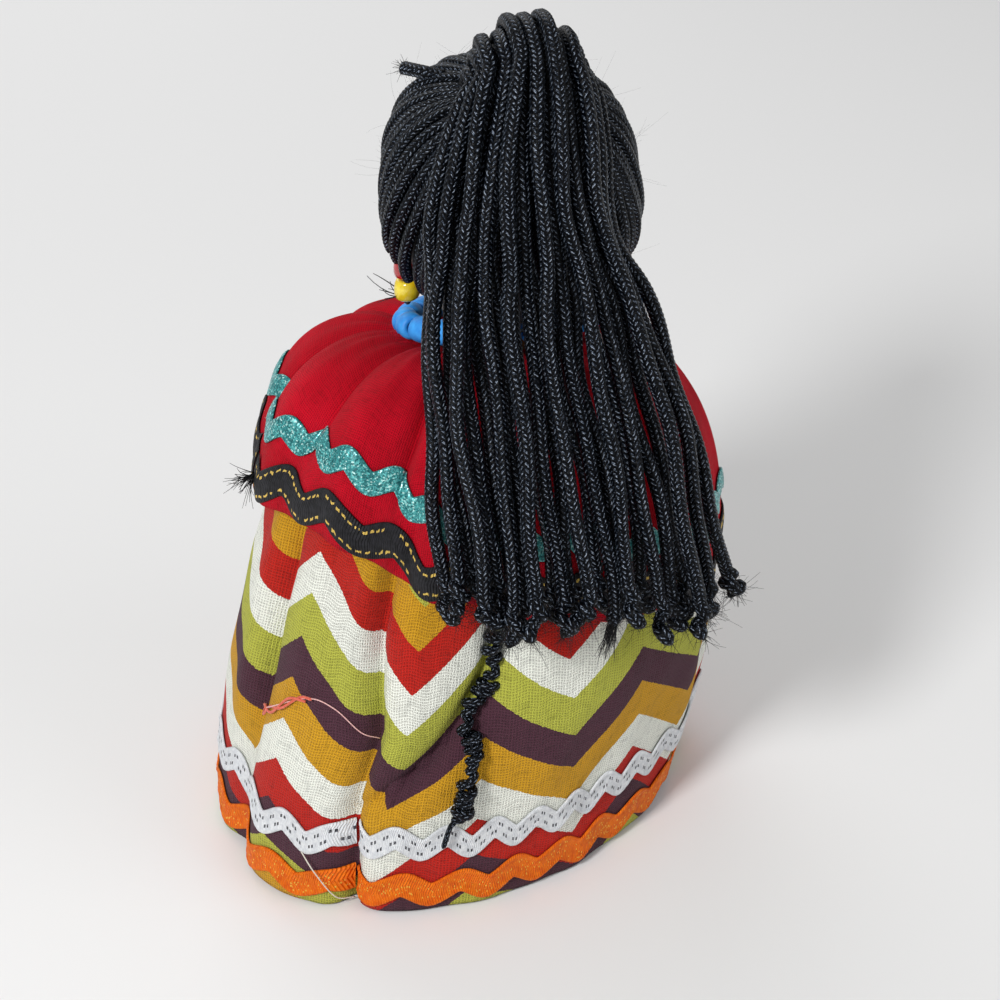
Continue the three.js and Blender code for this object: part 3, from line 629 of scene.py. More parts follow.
# Camera
AZIMUTH, ELEVATION, CAMERA_AWAY = math.radians(168), math.radians(32), 0.32
target = Vector((-0.00734, 0.00156, 0.05))
level = math.cos(ELEVATION)
back = Vector((math.sin(AZIMUTH) * level, -math.cos(AZIMUTH) * level, math.sin(ELEVATION)))
camera = in_scene("camera", bpy.data.cameras.new("camera"))
camera.data.lens = 79.45
camera.data.sensor_width = 36
camera.data.clip_start = 0.01
camera.location = target + back * CAMERA_AWAY
camera.rotation_mode = "QUATERNION"
camera.rotation_quaternion = (-back).to_track_quat("-Z", "Y")
bpy.context.scene.camera = camera

# Head, and the hair's ways over it
NAPE_DOWN, EAR_RISE, BROW_RISE = 123, 14, 44
head_centre = array([HEAD_X, 0, HEAD_Z])
pole = array([0, math.sin(TIE_TILT), math.cos(TIE_TILT)])
down_back = array([0, math.cos(TIE_TILT), -math.sin(TIE_TILT)])


def on_head(d, out):
    d = unit(np.asarray(d, float))
    r = (np.abs(d / HEAD_HALF) ** HEAD_SQUARENESS).sum(-1) ** (-1 / HEAD_SQUARENESS)
    return plumb(head_centre + d * (r + np.asarray(out))[..., None], HEAD_Z)


def hairline(turn):
    """How many degrees down from the pole the hair reaches, lowest at the nape."""
    off = np.abs((np.asarray(turn, float) + 180) % 360 - 180)
    return NAPE_DOWN - EAR_RISE * smooth(off, 30, 95) - BROW_RISE * smooth(off, 95, 150)


def scalp_direction(turn, down):
    turn, down = radians(turn)[..., None], radians(down)[..., None]
    side = sin(turn) * X_AXIS + cos(turn) * down_back
    return cos(down) * pole + sin(down) * side


def rising_back(degrees):
    return array([0, math.cos(math.radians(degrees)), math.sin(math.radians(degrees))])


tie_axis = on_head(pole, SCALP_OUT + 0.3 + TIE_RADIUS)

# Ponytail: braided cords, in rows of loops over the tie
# HEAD_ROUTE: rise, lift, x of the left and right edge, bow, evenness
HEAD_ROUTE = [(50, 1.9, 9, -9, 0.016, 0), (30, 1.6, 11.8, -9.4, 0.017, 0.4),
              (9, 1.5, 13.3, -9.8, 0.018, 0.7), (-12, 1.7, 14, -11.6, 0.014, 0.9)]
# TAIL_ROUTE: y, z, a layer's step in y and z, x of the left and right edge, bow, evenness
TAIL_ROUTE = [(20.0, 90, 0.94, 0.3, 14.8, -14.6, 0.012, 1), (23.6, 80, 0.94, 0.33, 15, -19.2, 0.0105, 0.96),
              (28.0, 70, 0.94, 0.33, 14.2, -24, 0.0098, 0.92), (31.4, 60.5, 0.98, 0.18, 13, -27, 0.0095, 0.9),
              (32.6, 52.5, 1, 0, 11.8, -29.5, 0.0092, 0.88)]
CROWN_ROWS, CROWN_PITCH, CROWN_STEP = (8, 7, 6, 3), 2.1, 1.85
LAYER_STEP, LAYER_SHIFT, TAIL_RIGHT_LONGER = 2.1, 0.4, 1.2
ROOT_TURN, ROOT_STEP, LOOP_TURNS = 230, 4.5, (192, 168, 140, 112, 92, 70)
BEND_FROM, BEND_TO = -2.0, 14.0
PATH_STEP = 0.2
TAIL_BRAID_RADIUS, TAIL_BRAID_SIDES = 1.02, 14
TASSEL_CORD, TASSEL_FIBRES = 14, 80
crown_half = (CROWN_ROWS[0] - 1) / 2 * CROWN_PITCH
tail_cords = [(((n - 1) / 2 - k) * CROWN_PITCH, row) for row, n in enumerate(CROWN_ROWS) for k in range(n)]
tail_cords.sort(key=lambda c: (-c[0], c[1]))


def tail_route(crown_x, row, share, high, lean):
    """Points on one cord's way: round the tie, down the head and on to its tip."""
    ring = TIE_RADIUS + 0.4 + CORD / 2 + row * CROWN_STEP
    points = []
    for turn in (ROOT_TURN - ROOT_STEP * row, *LOOP_TURNS):
        t = math.radians(turn)
        over = max(math.sin(t), 0) ** 2
        near = ring * (1 if turn < 150 else 0.9) + high * over
        x = crown_x + lean * over
        p = array([HEAD_X + TIE_MIDDLE + x, tie_axis[1], tie_axis[2] - TIE_BOW * x * x])
        p = p + near * (math.cos(t) * down_back + math.sin(t) * pole)
        points.append(plumb(p, HEAD_Z))
    crown_share = 0.5 - crown_x / crown_half / 2
    for rise, lift, left, right, bow, even in HEAD_ROUTE:
        x = left + (right - left) * (crown_share + (share - crown_share) * even)
        p = on_head(rising_back(rise), SCALP_OUT + lift) + row * LAYER_STEP * rising_back(max(rise, 14))
        points.append(plumb([HEAD_X + x, p[1] - bow * x * x, p[2]], HEAD_Z))
    for y, z, stack_y, stack_z, left, right, bow, even in TAIL_ROUTE:
        x = left + (right - left) * share * (even + (1 - even) * share**4)
        out = row * LAYER_STEP
        points.append(array([x + row * LAYER_SHIFT, y - bow * x * x + out * stack_y, z + out * stack_z]))
    longer = 1 + 0.25 * math.sin(37 * share + 2 * row) + TAIL_RIGHT_LONGER * float(smooth(share, 0.6, 1))
    points[-1] = points[-2] + (points[-1] - points[-2]) * longer
    return points


def curl_end(path, reach, turn, lift):
    """Bends the last reach mm of a path sideways and outwards, keeping its length."""
    step = np.diff(path, axis=0)
    gone = distance_along(path)[1:]
    share = clip((gone - gone[-1] + reach) / reach, 0, 1) ** 1.5
    a, b = turn * share, lift * share
    x = step[:, 0] * cos(a) - step[:, 2] * sin(a)
    z = step[:, 0] * sin(a) + step[:, 2] * cos(a)
    y = step[:, 1] * cos(b) - z * sin(b)
    z = step[:, 1] * sin(b) + z * cos(b)
    return np.vstack([path[:1], path[0] + np.cumsum(stacked(x, y, z), 0)])


def kink_end(path, reach, size, turns, phase):
    """Winds the last reach mm of a path into a loose kinked curl."""
    gone = distance_along(path)
    share = clip((gone - gone[-1] + reach) / reach, 0, 1)
    t = phase + TURN * turns * share
    wide = size * smooth(share, 0, 0.5)
    return path + wide[:, None] * stacked(cos(t), 0.3 + 0.6 * sin(t), 0.35 * sin(2 * t))


def fray(piece, tip, along, count, reach, radius, spread, material=0, curl=0.5):
    """Loose fibres that stand out of a cut end."""
    t = linspace(0, 1, 7)[:, None]
    for _ in range(count):
        d = unit(along + spread * rng.normal(size=3))
        bend, twist = rng.normal(size=3) * curl, rng.normal(size=3) * curl
        path = tip + reach * rng.uniform(0.5, 1) * (d * t + bend * t**2 * 0.5 + twist * t**3 * 0.4)
        add_tube(piece, path, radius * linspace(1, 0.4, 7), 3, material=material)


tie_middle = tie_axis + array([TIE_MIDDLE, 0, 0])
tail_start, tail_end = world(tie_middle + BEND_FROM * down_back), world(tie_middle + BEND_TO * down_back)
frays = Piece("tail_end_fibres")
for i, (crown_x, row) in enumerate(tail_cords):
    high, lean = rng.uniform(-0.2, 0.5) * (row > 0), rng.normal(0, 0.2)
    points = spline(tail_route(crown_x, row, (i + 0.5) / len(tail_cords), high, lean), PATH_STEP)
    s = linspace(0, 1, len(points))
    sway = smooth(s, 0.2, 0.4)
    phase = rng.uniform(0, TURN, 3)
    points[:, 0] += sway * (0.5 * sin(11 * s + phase[0]) + 0.26 * sin(24 * s + phase[1]))
    points[:, 1] += sway * 0.4 * sin(17 * s + phase[2])
    path = resample(points, PATH_STEP)
    reach, turn, lift = rng.uniform(5, 8), rng.normal(0, 0.5), abs(rng.normal(0, 0.35))
    if i != TASSEL_CORD:
        path = curl_end(path, reach, turn, lift)
        path = kink_end(path, reach, rng.uniform(0.5, 0.95), rng.uniform(1.4, 2.4), phase[0])
        path = resample(path, PATH_STEP)
    gone = linspace(0, length(path), len(path))
    left = gone[-1] - gone
    knot, fat = rng.uniform(1.3, 2.4), rng.uniform(0.05, 0.25)
    swell = 1 + fat * hill(left, knot, 0.8) - 0.15 * hill(left - knot, 1.6, 0.6)
    swell = swell * sqrt(clip(left / 0.9, 0.06, 1)) * sqrt(clip(gone / 0.6, 0.2, 1))
    cord = Piece("tail_cord_braid_%02d" % (i + 1))
    add_braid(cord, path, TAIL_BRAID_RADIUS * swell, TAIL_BRAID_SIDES, rng.normal(0, 0.3))
    cord = cord.make(hair_cord, slot="hair_cord")
    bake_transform(cord)
    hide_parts("tail_cord_%02d" % (i + 1))
    run = world(path)
    heading = unit(path[-1] - path[-6])
    for k in range(2, 38, 3):
        fray(frays, path[-k], heading, rng.integers(8, 14), rng.uniform(1.1, 1.9), 0.05, 1.4, curl=1.5)
    if i == TASSEL_CORD:
        for _ in range(TASSEL_FIBRES):
            root = path[-8] + rng.normal(0, 0.45, 3)
            fray(frays, root, array([0.12, 0.1, -1.0]), 1, 6.4, 0.06, 0.07, curl=0.12)
frays.make(black_fibre, "ponytail", "hair_cord")

# Skirt's outside: half widths by height, and its valleys as angle, width and depth
SKIRT_Z = [HEM_Z, 8, 20, 34, 48, 59, 63.5, WAIST_Z]
SKIRT_A = [36.4, 36.6, 36, 34.6, 32.2, 28.6, 24, 16.4]
SKIRT_B = [30.5, 30.7, 30.2, 28.8, 26, 23.2, 19.4, 13.6]
VALLEYS = [(SKIRT_SEAM, 5, 1.9), (71.5, 6, 2.2), (106, 9, 1.6), (141, 9, 2), (177, 9, 1.7), (-148, 9, 2),
           (-113, 9, 1.8), (-78, 8, 1.5)]
SEAM_HEIGHTS = [HEM_Z, 12, 17.7, 23, 28.7, 34, 44, 52, WAIST_Z]
SEAM_ANGLES = [36.5, 37, 38, 36.5, 34.6, 36.5, 38.8, 38.6, 36.5]


def squared_oval(angle, a, b, power):
    t = radians(angle)
    return ((np.abs(sin(t)) / a) ** power + (np.abs(cos(t)) / b) ** power) ** (-1 / power)


def slanting_fold(z):
    """The angle at which the long fold of the back lies."""
    return 5 + 31 * clip((50 - z) / 33, 0, 1.1) ** 2.2


def skirt_radius(angle, z):
    a, b = hermite(z, SKIRT_Z, SKIRT_A), hermite(z, SKIRT_Z, SKIRT_B)
    low = 1 - 0.8 * smooth(z, 14, 40)
    bulge, flat = 0.065 * low * bump(angle, 42, 27), 0.15 * low * bump(angle, -47, 32)
    r = squared_oval(angle, a, b, 2.3) * (1 + bulge - flat)
    full = 0.25 + 0.75 * smooth(WAIST_Z - z, 0, 10)
    for at, width, deep in VALLEYS:
        r = r - deep * full * bump(angle, at, width)
    r = r - 1.7 * smooth(z, 12, 24) * full * bump(angle, slanting_fold(z), 6.5)
    r = r + 1.1 * smooth(z, 10, 26) * full * bump(angle, -24, 24)
    return r + 3.6 * hill(z, 22, 15) * bump(angle, -90, 30)


def seam_angle(z):
    return interp(z, SEAM_HEIGHTS, SEAM_ANGLES)


def skirt_outside(angle, z):
    """The radius with the fine folds that the solid leaves out."""
    r = skirt_radius(angle, z)
    full = smooth(WAIST_Z - z, 2, 14)
    seam = seam_angle(z)
    r = r - full * (2.0 * bump(angle, seam + 0.3, 1.6) - 0.6 * bump(angle, seam + 5, 3.5))
    r = r - 1.8 * smooth(z, 13, 22) * full * bump(angle, slanting_fold(z), 2.2)
    r = r - full * smooth(z, 14, 30) * (2.0 * bump(angle, 71, 1.8) - 1.1 * bump(angle, 77, 4))
    t = radians(angle)
    soft = 0.22 * sin(7 * t + 0.09 * z) + 0.16 * sin(13 * t - 0.16 * z + 1.3)
    soft = soft + 0.1 * sin(23 * t + 0.3 * z)
    gather = 0.5 * cos(43 * t + 1.5 * sin(3 * t)) * hill(z, WAIST_Z, 9)
    return r + full * soft + gather


def round_points(angle, r, z):
    t = radians(angle)
    return stacked(r * sin(t), r * cos(t), z)


# The cord that has come undone: points under the tail, then angles and heights over the skirt
CURL_LEAD = [(4.1, 30.2, 56), (3.4, 30.75, 52.2), (2.6, 30.4, 49.2), (2.1, 29.6, 46.8)]
CURL_ROUTE = [(4, 44.6), (5.5, 42), (7, 38.5), (10.5, 33.5), (11, 27.5), (9.5, 22), (13.5, 17), (15, 13)]
CURL_OFF, CURL_TURNS, CURL_SIZE, CURL_MEANDER, CURL_RADIUS = 1.9, 18, 0.74, 0.95, 0.7
CURL_FINE_STEP, CURL_STEP = 0.05, 0.16
curl_points = [array(p) for p in CURL_LEAD]
curl_points += [round_points(a, skirt_outside(a, z) + CURL_OFF, z) for a, z in CURL_ROUTE]
curl_line = spline(curl_points, CURL_FINE_STEP)
_, curl_side, curl_other = directions(curl_line)
lead = length(spline(curl_points[:len(CURL_LEAD) + 1], CURL_FINE_STEP)) / length(curl_line)
u = (linspace(0, 1, len(curl_line)) - lead) / (1 - lead)
wound = clip(minimum((u + 0.04) / 0.06, (0.88 - u) / 0.05), 0, 1)
knobs = 0.45 * sin(29 * u) + 0.25 * sin(57 * u + 1) + 1.2 * hill(u, 0.81, 0.03)
wide = CURL_SIZE * wound * (1 + knobs)
t = TURN * CURL_TURNS * u / 0.86 + 1.3 * sin(23 * u) + 0.7 * sin(51 * u)
winding = curl_side * cos(t)[:, None] + curl_other * sin(t)[:, None]
meander = CURL_MEANDER * wound * sin(19 * u + 0.6)
curl_path = resample(curl_line + wide[:, None] * winding + meander[:, None] * curl_side, CURL_STEP)
u = linspace(0, 1, len(curl_path))
thick = CURL_RADIUS * (1 - 0.4 * smooth(u, 0.94, 0.965))
thick = thick * sqrt(clip(minimum(u, 1 - u) / 0.004, 0.1, 1))
curl = add_braid(Piece("curly_cord_braid"), curl_path, thick)
curl = curl.make(hair_cord, "ponytail", "hair_cord", ["curly_cord"])
run = world(curl_path)

# Hair on the head
CAP_ROWS, CAP_COLUMNS, CAP_LIFT = 26, 90, 0.75
SCALP_CORDS, SCALP_CORD_POINTS, SCALP_MEAN_RADIUS, SCALP_STRAYS = 54, 16, 17, 560
CREST_HALF, CREST_POINTS = 7, 30
STUB = [((0.5, -0.1, 0.86), 1.6), ((0.58, -0.2, 0.79), 3.0), ((0.63, -0.33, 0.7), 4.6)]
TIE_POINTS, TIE_WINDS = 900, 20


def over_ears(turn, part):
    """How far the hair stands off over the ears."""
    return 1.5 * smooth(part, 0.5, 0.95) * (bump(turn, 62, 30) + bump(turn, -62, 30))


def tie_line(half, count):
    """Places from -1 to 1 along the tie, and the points there on its bowed axis."""
    k = linspace(-1, 1, count)
    x = half * k
    return k, stacked(tie_axis[0] + TIE_MIDDLE + x, tie_axis[1], tie_axis[2] - TIE_BOW * x**2)


scalp = Piece("scalp_braids")
downs, turns = np.meshgrid(linspace(0.04, 0.985, CAP_ROWS), arange(CAP_COLUMNS) * 360 / CAP_COLUMNS,
                           indexing="ij")
cap = on_head(scalp_direction(turns, downs * hairline(turns)), CAP_LIFT + 0.8 * over_ears(turns, downs))
scalp.add(cap, grid_faces(CAP_ROWS, CAP_COLUMNS), None, 1)
k, crest = tie_line(CREST_HALF, CREST_POINTS)
add_tube(scalp, crest, 1.1 + 1.6 * sqrt(1 - np.abs(k)), 12, material=1)
for c in range(SCALP_CORDS):
    turn = 360 * c / SCALP_CORDS + rng.uniform(-1.2, 1.2)
    part = linspace(rng.uniform(0.97, 1.03), 0.05, SCALP_CORD_POINTS)
    bent = turn + 5 * sin(2.2 * part + c) * (1 - part) + rng.uniform(-2, 2) * part
    down = part * hairline(turn)
    room = TURN * SCALP_MEAN_RADIUS * sin(radians(down)) / SCALP_CORDS
    size = clip(0.6 * room, 0.35, 0.95)
    lift = SCALP_IN + maximum(size, 0.45) + over_ears(turn, part) + 0.25 * (c % 2) * smooth(part, 0.2, 0.5)
    path = spline(on_head(scalp_direction(bent, down), lift), 0.22)
    gone = linspace(0, 1, len(path))
    r = interp(gone, linspace(0, 1, SCALP_CORD_POINTS), size) * sqrt(clip(gone / 0.02, 0.15, 1))
    add_braid(scalp, path, r, roll=rng.normal(0, 0.3))
stub = spline([on_head(array(d), out) for d, out in STUB], 0.24)
add_braid(scalp, stub, CORD / 2)
fray(scalp, stub[-3], unit(stub[-1] - stub[-4]), 60, 1.7, 0.05, 0.6, 1)
for _ in range(SCALP_STRAYS):
    turn, part = rng.uniform(0, 360), rng.uniform(0.1, 1)
    d = scalp_direction(array(turn), array(part * float(hairline(turn))))
    start = on_head(d, SCALP_OUT - 0.3)
    fray(scalp, start, unit(d + 0.8 * rng.normal(size=3)), 1, rng.uniform(0.8, 2.2), 0.014, 0.6, 1, 2.2)
scalp.make([hair_cord, black_fibre], "doll", "hair_cord", ["scalp_cords"])

tie = Piece("hair_tie_thread")
k, core = tie_line(TIE_HALF, TIE_POINTS)
add_tube(tie, core[::60], 0.6, 10)
t = k * TURN * TIE_WINDS
wind = core + 0.62 * (cos(t)[:, None] * down_back + sin(t)[:, None] * pole)
add_tube(tie, wind, 0.2, 5)
tie.make(tie_thread, "doll", "hair_tie", ["hair_tie"])

# Skirt
COLUMNS, ROWS, GATHER_ROWS, GATHER_Z = 360, 96, 14, 58
SKIRT_THICKNESS, GIRTH_ROW = 0.55, 60
HEM_TURN_UP = array([[0.0], [0.5], [1], [2]])
PRINT_ANGLES = [30, 36.5, 58.5, 68, 72, 110, 300, 341, 366.8, 387, 401]
PRINT_PEAKS = [-0.12, 0.022, 0.5, 0.706, 1, 1.826, 6.109, 7, 7.5, 8, 8.304]
BAND_ANGLES = [36.5, 58.5, 72, 90, 341, 366, 387, 396.5]
BAND_HEIGHTS = [53, 57.2, 54.6, 57, 53, 51, 49.1, 49]
BAND_PITCHES = [5.5, 6.4, 6.15, 6.6, 6.5, 6.4, 6.26, 6.26]
angle = SKIRT_SEAM + arange(COLUMNS + 1) * 360 / COLUMNS
gather_z = linspace(WAIST_Z, GATHER_Z, GATHER_ROWS, endpoint=False)
z = concatenate([gather_z, linspace(GATHER_Z, HEM_Z, ROWS - GATHER_ROWS)])[:, None]
inner_z = concatenate([z[::-1][:4] + HEM_TURN_UP, linspace(4, WAIST_Z, 18)[:, None]])


def follow_seam(angle, z):
    near = minimum(angle - SKIRT_SEAM, SKIRT_SEAM + 360 - angle)
    return angle + (seam_angle(z) - SKIRT_SEAM) * hill(near, 0, 14)


def print_uv(angle, z):
    """Chevrons along and bands down; the seam breaks the pattern as in the photograph."""
    drift = 0.28 * (z - 27) * (1 - smooth(angle, 345, 366)) * smooth(angle, 290, 320)
    t = angle - drift - 5 * smooth(25 - z, 0, 13) * smooth(angle, 372, 384)
    u = interp(t, PRINT_ANGLES, PRINT_PEAKS)
    height, pitch = interp(t, BAND_ANGLES, BAND_HEIGHTS), interp(t, BAND_ANGLES, BAND_PITCHES)
    return stacked(u, (height - z) / pitch)


def cloth_uv(points, girth_row):
    """Millimetres round, measured on one row, and millimetres down each column."""
    return stacked(distance_along(girth_row)[None], distance_along(points))


def cloth(name, grid, uv):
    """A cloth with two faces; the grid runs down the one and up the other, and closes."""
    uv = concatenate([uv, uv[-1:]])
    return Piece(name).add(grid[:, :-1], ring_faces(len(grid), grid.shape[1] - 1), grid_uv(uv))


outside_angle, inside_angle = follow_seam(angle[None], z), follow_seam(angle[None], inner_z)
outside = round_points(outside_angle, skirt_outside(outside_angle, z), z)
inside = round_points(inside_angle, skirt_outside(inside_angle, inner_z) - SKIRT_THICKNESS, inner_z)
skirt_grid = np.vstack([outside, inside])
printed = print_uv(np.vstack([outside_angle, inside_angle]), concatenate([z, inner_z]))
uv = concatenate([cloth_uv(skirt_grid, outside[GIRTH_ROW]), printed], -1)
skirt = cloth("skirt_cloth", skirt_grid, uv)
skirt = skirt.make(chevron_cotton, "doll", "chevron_cotton", ["skirt"], ("cloth", "print"))


def facing_out(normal, point):
    out = point * array([1, 1, 0]) + array([0, 0, 6.0])
    return normal * np.sign((normal * out).sum(-1, keepdims=True))


class Laid:
    """Places on a cloth by angle and distance up from its hem."""

    def __init__(self, grid, first, reach):
        """grid runs down to the hem, its columns evenly round from the first angle."""
        self.first, self.columns = first, grid.shape[1] - 1
        self.step = 0.25
        marks = arange(0, reach, self.step)
        self.table = np.stack([points_at(grid[::-1, j], marks) for j in range(self.columns + 1)])

    def at(self, angle, up):
        f = ((np.asarray(angle, float) - self.first) % 360) / 360 * self.columns
        g = clip(np.asarray(up, float) / self.step, 0, self.table.shape[1] - 1.001)
        i, j = minimum(f.astype(int), self.columns - 1), g.astype(int)
        s, t = (f - i)[..., None], (g - j)[..., None]
        lower = self.table[i, j] * (1 - s) + self.table[i + 1, j] * s
        upper = self.table[i, j + 1] * (1 - s) + self.table[i + 1, j + 1] * s
        return lower * (1 - t) + upper * t

    def outward(self, angle, up):
        across = self.at(np.asarray(angle) + 1.5, up) - self.at(np.asarray(angle) - 1.5, up)
        rise = self.at(angle, np.asarray(up) + 0.8) - self.at(angle, maximum(np.asarray(up) - 0.8, 0))
        return facing_out(unit(np.cross(rise, across)), self.at(angle, up))


# Waved braids
TRIM_SPAN, TRIM_STEPS, TRIM_OFF, RIB_PITCH = 358.2, 34, 0.12, 1.1
TRIM_ACROSS = array([-1, -0.94, -0.8, -0.6, -0.36, -0.12, 0.12, 0.36, 0.6, 0.8, 0.94, 1, 0.8, 0, -0.8])
TRIM_TOP = slice(1, 11)
TRIM_EDGE, TRIM_BACK = 0.12, 0.04


def scallop(t):
    """A wave with broad round tops and narrow valleys, from -1 to 1."""
    return 0.3 * sin(t) + 1.4 * np.abs(sin(t / 2 + np.pi / 4)) - 0.7


def rickrack(colour, wearer, laid, seam, material, profile, up, swing, band, waves, rib):
    """A waved braid laid round a cloth; profile gives its height across, from -1 to 1."""
    count = waves * TRIM_STEPS
    k = arange(count + 1)
    t = TURN * waves * k / count
    start = seam + (360 - TRIM_SPAN) / 2
    girth = length(laid.at(linspace(0, 360, 181), np.full(181, float(up))))
    slope = swing * TURN * waves * cos(t) / (girth * TRIM_SPAN / 360)
    size = np.hypot(1, slope)
    lift = [TRIM_EDGE] + [profile(c) for c in TRIM_ACROSS[TRIM_TOP]] + [TRIM_EDGE] + 3 * [TRIM_BACK]
    top, bottom = band / 2 + swing * scallop(t), -band / 2 - swing * scallop(t + np.pi)
    high = up + (top + bottom)[:, None] / 2 + (top - bottom)[:, None] / 2 * TRIM_ACROSS[None]
    at = np.broadcast_to((start + TRIM_SPAN * k / count)[:, None], high.shape)
    along = concatenate([[0], np.cumsum(girth * TRIM_SPAN / 360 / count * size[1:])])
    ridge = np.zeros_like(high)
    slanted = along[:, None] + 0.5 * np.abs(TRIM_ACROSS[None, TRIM_TOP])
    ridge[:, TRIM_TOP] = rib * sin(TURN * slanted / RIB_PITCH)
    out = TRIM_OFF + array(lift)[None] + ridge
    points = laid.at(at, high) + laid.outward(at, high) * out[..., None]
    n, m = points.shape[:2]
    v = concatenate([TRIM_ACROSS, TRIM_ACROSS[:1]])
    uv = stacked(along[:, None], v[None])
    piece = Piece("rickrack_" + colour).add(points, grid_faces(n, m), grid_uv(uv)).close_ends(n, m)
    return piece.make(material, "doll", colour + "_rickrack", ["%s_rickrack_%s" % (wearer, colour)])


def flat_band(c):
    return 0.2 + 0.22 * math.sqrt(max(1 - c * c, 0))


def rimmed(c):
    return 0.26 + 0.2 * hill(abs(c), 0.84, 0.12)


skirt_laid = Laid(outside, SKIRT_SEAM, 22)
trim_white = rickrack("white", "skirt", skirt_laid, SKIRT_SEAM, white_rickrack, rimmed,
                      up=12.3, swing=1.2, band=3.8, waves=29, rib=0.02)
trim_orange = rickrack("orange", "skirt", skirt_laid, SKIRT_SEAM, orange_rickrack, rimmed,
                       up=4, swing=1.05, band=4.3, waves=24, rib=0.025)

# Cape
CAPE_HEM_Z, CAPE_TILT, CAPE_ARCH, CAPE_HEM_HALF, CAPE_OVER_SKIRT = 48.5, 9.5, 1.8, (32, 26.4), 1.3
CAPE_NECK_TILT, CAPE_PUFF, CAPE_DIP, CAPE_FOLDS = 3, 1.6, 3.5, 13
FOLD_CENTRE_R, FOLD_CENTRE_Z = 8, 56
CAPE_COLUMNS, CAPE_ROWS, CAPE_GIRTH_ROW, CAPE_THICKNESS = 420, 64, 44, 0.5
CAPE_UNDER_ROWS = [63, 62, 60, 56, 50, 44, 38, 32, 26, 20, 14, 8, 4, 0]


def cape_outside(angle, step):
    """Points of the cape; step runs from 0 at the neck to 90 at the hem."""
    t = radians(angle)
    s, c = sin(t), cos(t)
    q = radians(step)
    arch = bump(angle, 54, 18) - bump(angle, 92, 20) + bump(angle, -27, 24)
    hem_z = CAPE_HEM_Z + CAPE_TILT * s + CAPE_ARCH * arch
    hem_r = maximum(squared_oval(angle, *CAPE_HEM_HALF, 2.2), skirt_radius(angle, hem_z) + CAPE_OVER_SKIRT)
    neck_z = CAPE_NECK_Z + CAPE_NECK_TILT * c
    power = 1.9 + np.where(s > 0, 0.2, -0.15) * s * s
    out = sin(q) ** (2 / power)
    up = maximum(cos(q), 0) ** (2 / power)
    r = CAPE_NECK_R + (hem_r - CAPE_NECK_R) * out
    z = hem_z + (neck_z - hem_z) * up
    z = z + CAPE_PUFF * maximum(s, 0) * sin(2 * q) ** 2
    z = z - CAPE_DIP * hill(r, CAPE_NECK_R, 5)
    fullness = 0.42 + 0.58 * sin(q)
    ridge = np.abs(cos((CAPE_FOLDS * t + 0.9 * sin(2 * t)) / 2))
    uneven = 1 + 0.22 * sin(2.3 * t + 0.8) + 0.12 * sin(5 * t)
    sharp, soft = 3.9 * ridge**0.75 - 1.3 * (1 - ridge) ** 3 - 1.3, 0.7 + 1.3 * ridge**2
    fold = fullness * uneven * (sharp + (soft - sharp) * smooth(step, 46, 78))
    fold = fold + 0.25 * sin(q) * sin(29 * t + 1.1 * sin(3 * t) + 0.6 * q)
    fold = fold + 0.4 * sin(2 * q) * sin(17 * t + 2 * sin(2 * t) + 1.5 * q) * sin(q * 1.4)
    fold = fold + 0.4 * cos(51 * t + 1.3 * sin(4 * t)) * hill(step, 0, 26) * smooth(step, 0, 5)
    away_r, away_z = r - FOLD_CENTRE_R, z - FOLD_CENTRE_Z
    size = np.hypot(away_r, away_z)
    r = r + np.where(step > 0, fold, 0) * away_r / size
    z = z + fold * away_z / size
    return stacked(r * s, r * c, z)


angle = CAPE_SEAM + arange(CAPE_COLUMNS + 1) * 360 / CAPE_COLUMNS
step = linspace(0, 90, CAPE_ROWS)[:, None]
cape_grid = cape_outside(*np.broadcast_arrays(angle[None], step))
normal = unit(np.cross(np.gradient(cape_grid, axis=1), np.gradient(cape_grid, axis=0)))
under = (cape_grid - CAPE_THICKNESS * facing_out(normal, cape_grid))[CAPE_UNDER_ROWS]
both = np.vstack([cape_grid, under])
cape = cloth("cape_cloth", both, cloth_uv(both, cape_grid[CAPE_GIRTH_ROW]))
cape = cape.make(red_cotton, "doll", "red_cotton", ["cape"])

BLACK_SEAM = 86
cape_laid = Laid(cape_grid, CAPE_SEAM, 28)
trim_teal = rickrack("teal", "cape", cape_laid, CAPE_SEAM, teal_rickrack, flat_band,
                     up=11.5, swing=1.05, band=3.3, waves=29, rib=0.03)
trim_black = rickrack("black", "cape", cape_laid, BLACK_SEAM, black_rickrack, flat_band,
                      up=3.7, swing=1.3, band=4.7, waves=20, rib=0.02)

# Stuffed husk: body by height and half widths, arms, head
BODY_ROWS = [(1.8, 29, 22), (18, 28.5, 21.5), (36, 25.5, 19.5), (52, 20.5, 16), (60, 16.4, 13),
             (66.5, 14.9, 12.1), (67.6, 14.2, 11.2), (70, 8.8, 8.4), (72.5, 7.3, 7.3), (88.5, 7.3, 7.3)]
BODY_COLUMNS = 72
ARM_RADIUS, ARM_SIDES = 2.6, 24
ARM_PLACES, ARM_SHAPE = [0, 0.08, 0.3, 0.5, 0.7, 0.86, 0.95, 1], [0.5, 0.72, 0.95, 1, 1, 0.95, 0.8, 0.4]
HEAD_ROWS, HEAD_COLUMNS, HEAD_IN, HEAD_FIBRES = 70, 96, 0.15, 620
row_z, row_a, row_b = zip(*BODY_ROWS)
zs = concatenate([linspace(1.8, 66, 40), linspace(66.4, 88.5, 30)])[:, None]
a, b = interp(zs, row_z, row_a), interp(zs, row_z, row_b)
t = linspace(0, TURN, BODY_COLUMNS, endpoint=False)
ripple = 1 + 0.004 * sin(9 * t + 0.2 * zs) + 0.003 * sin(17 * t - 0.35 * zs)
rows = stacked(a * sin(t) * ripple, b * cos(t) * ripple, zs)
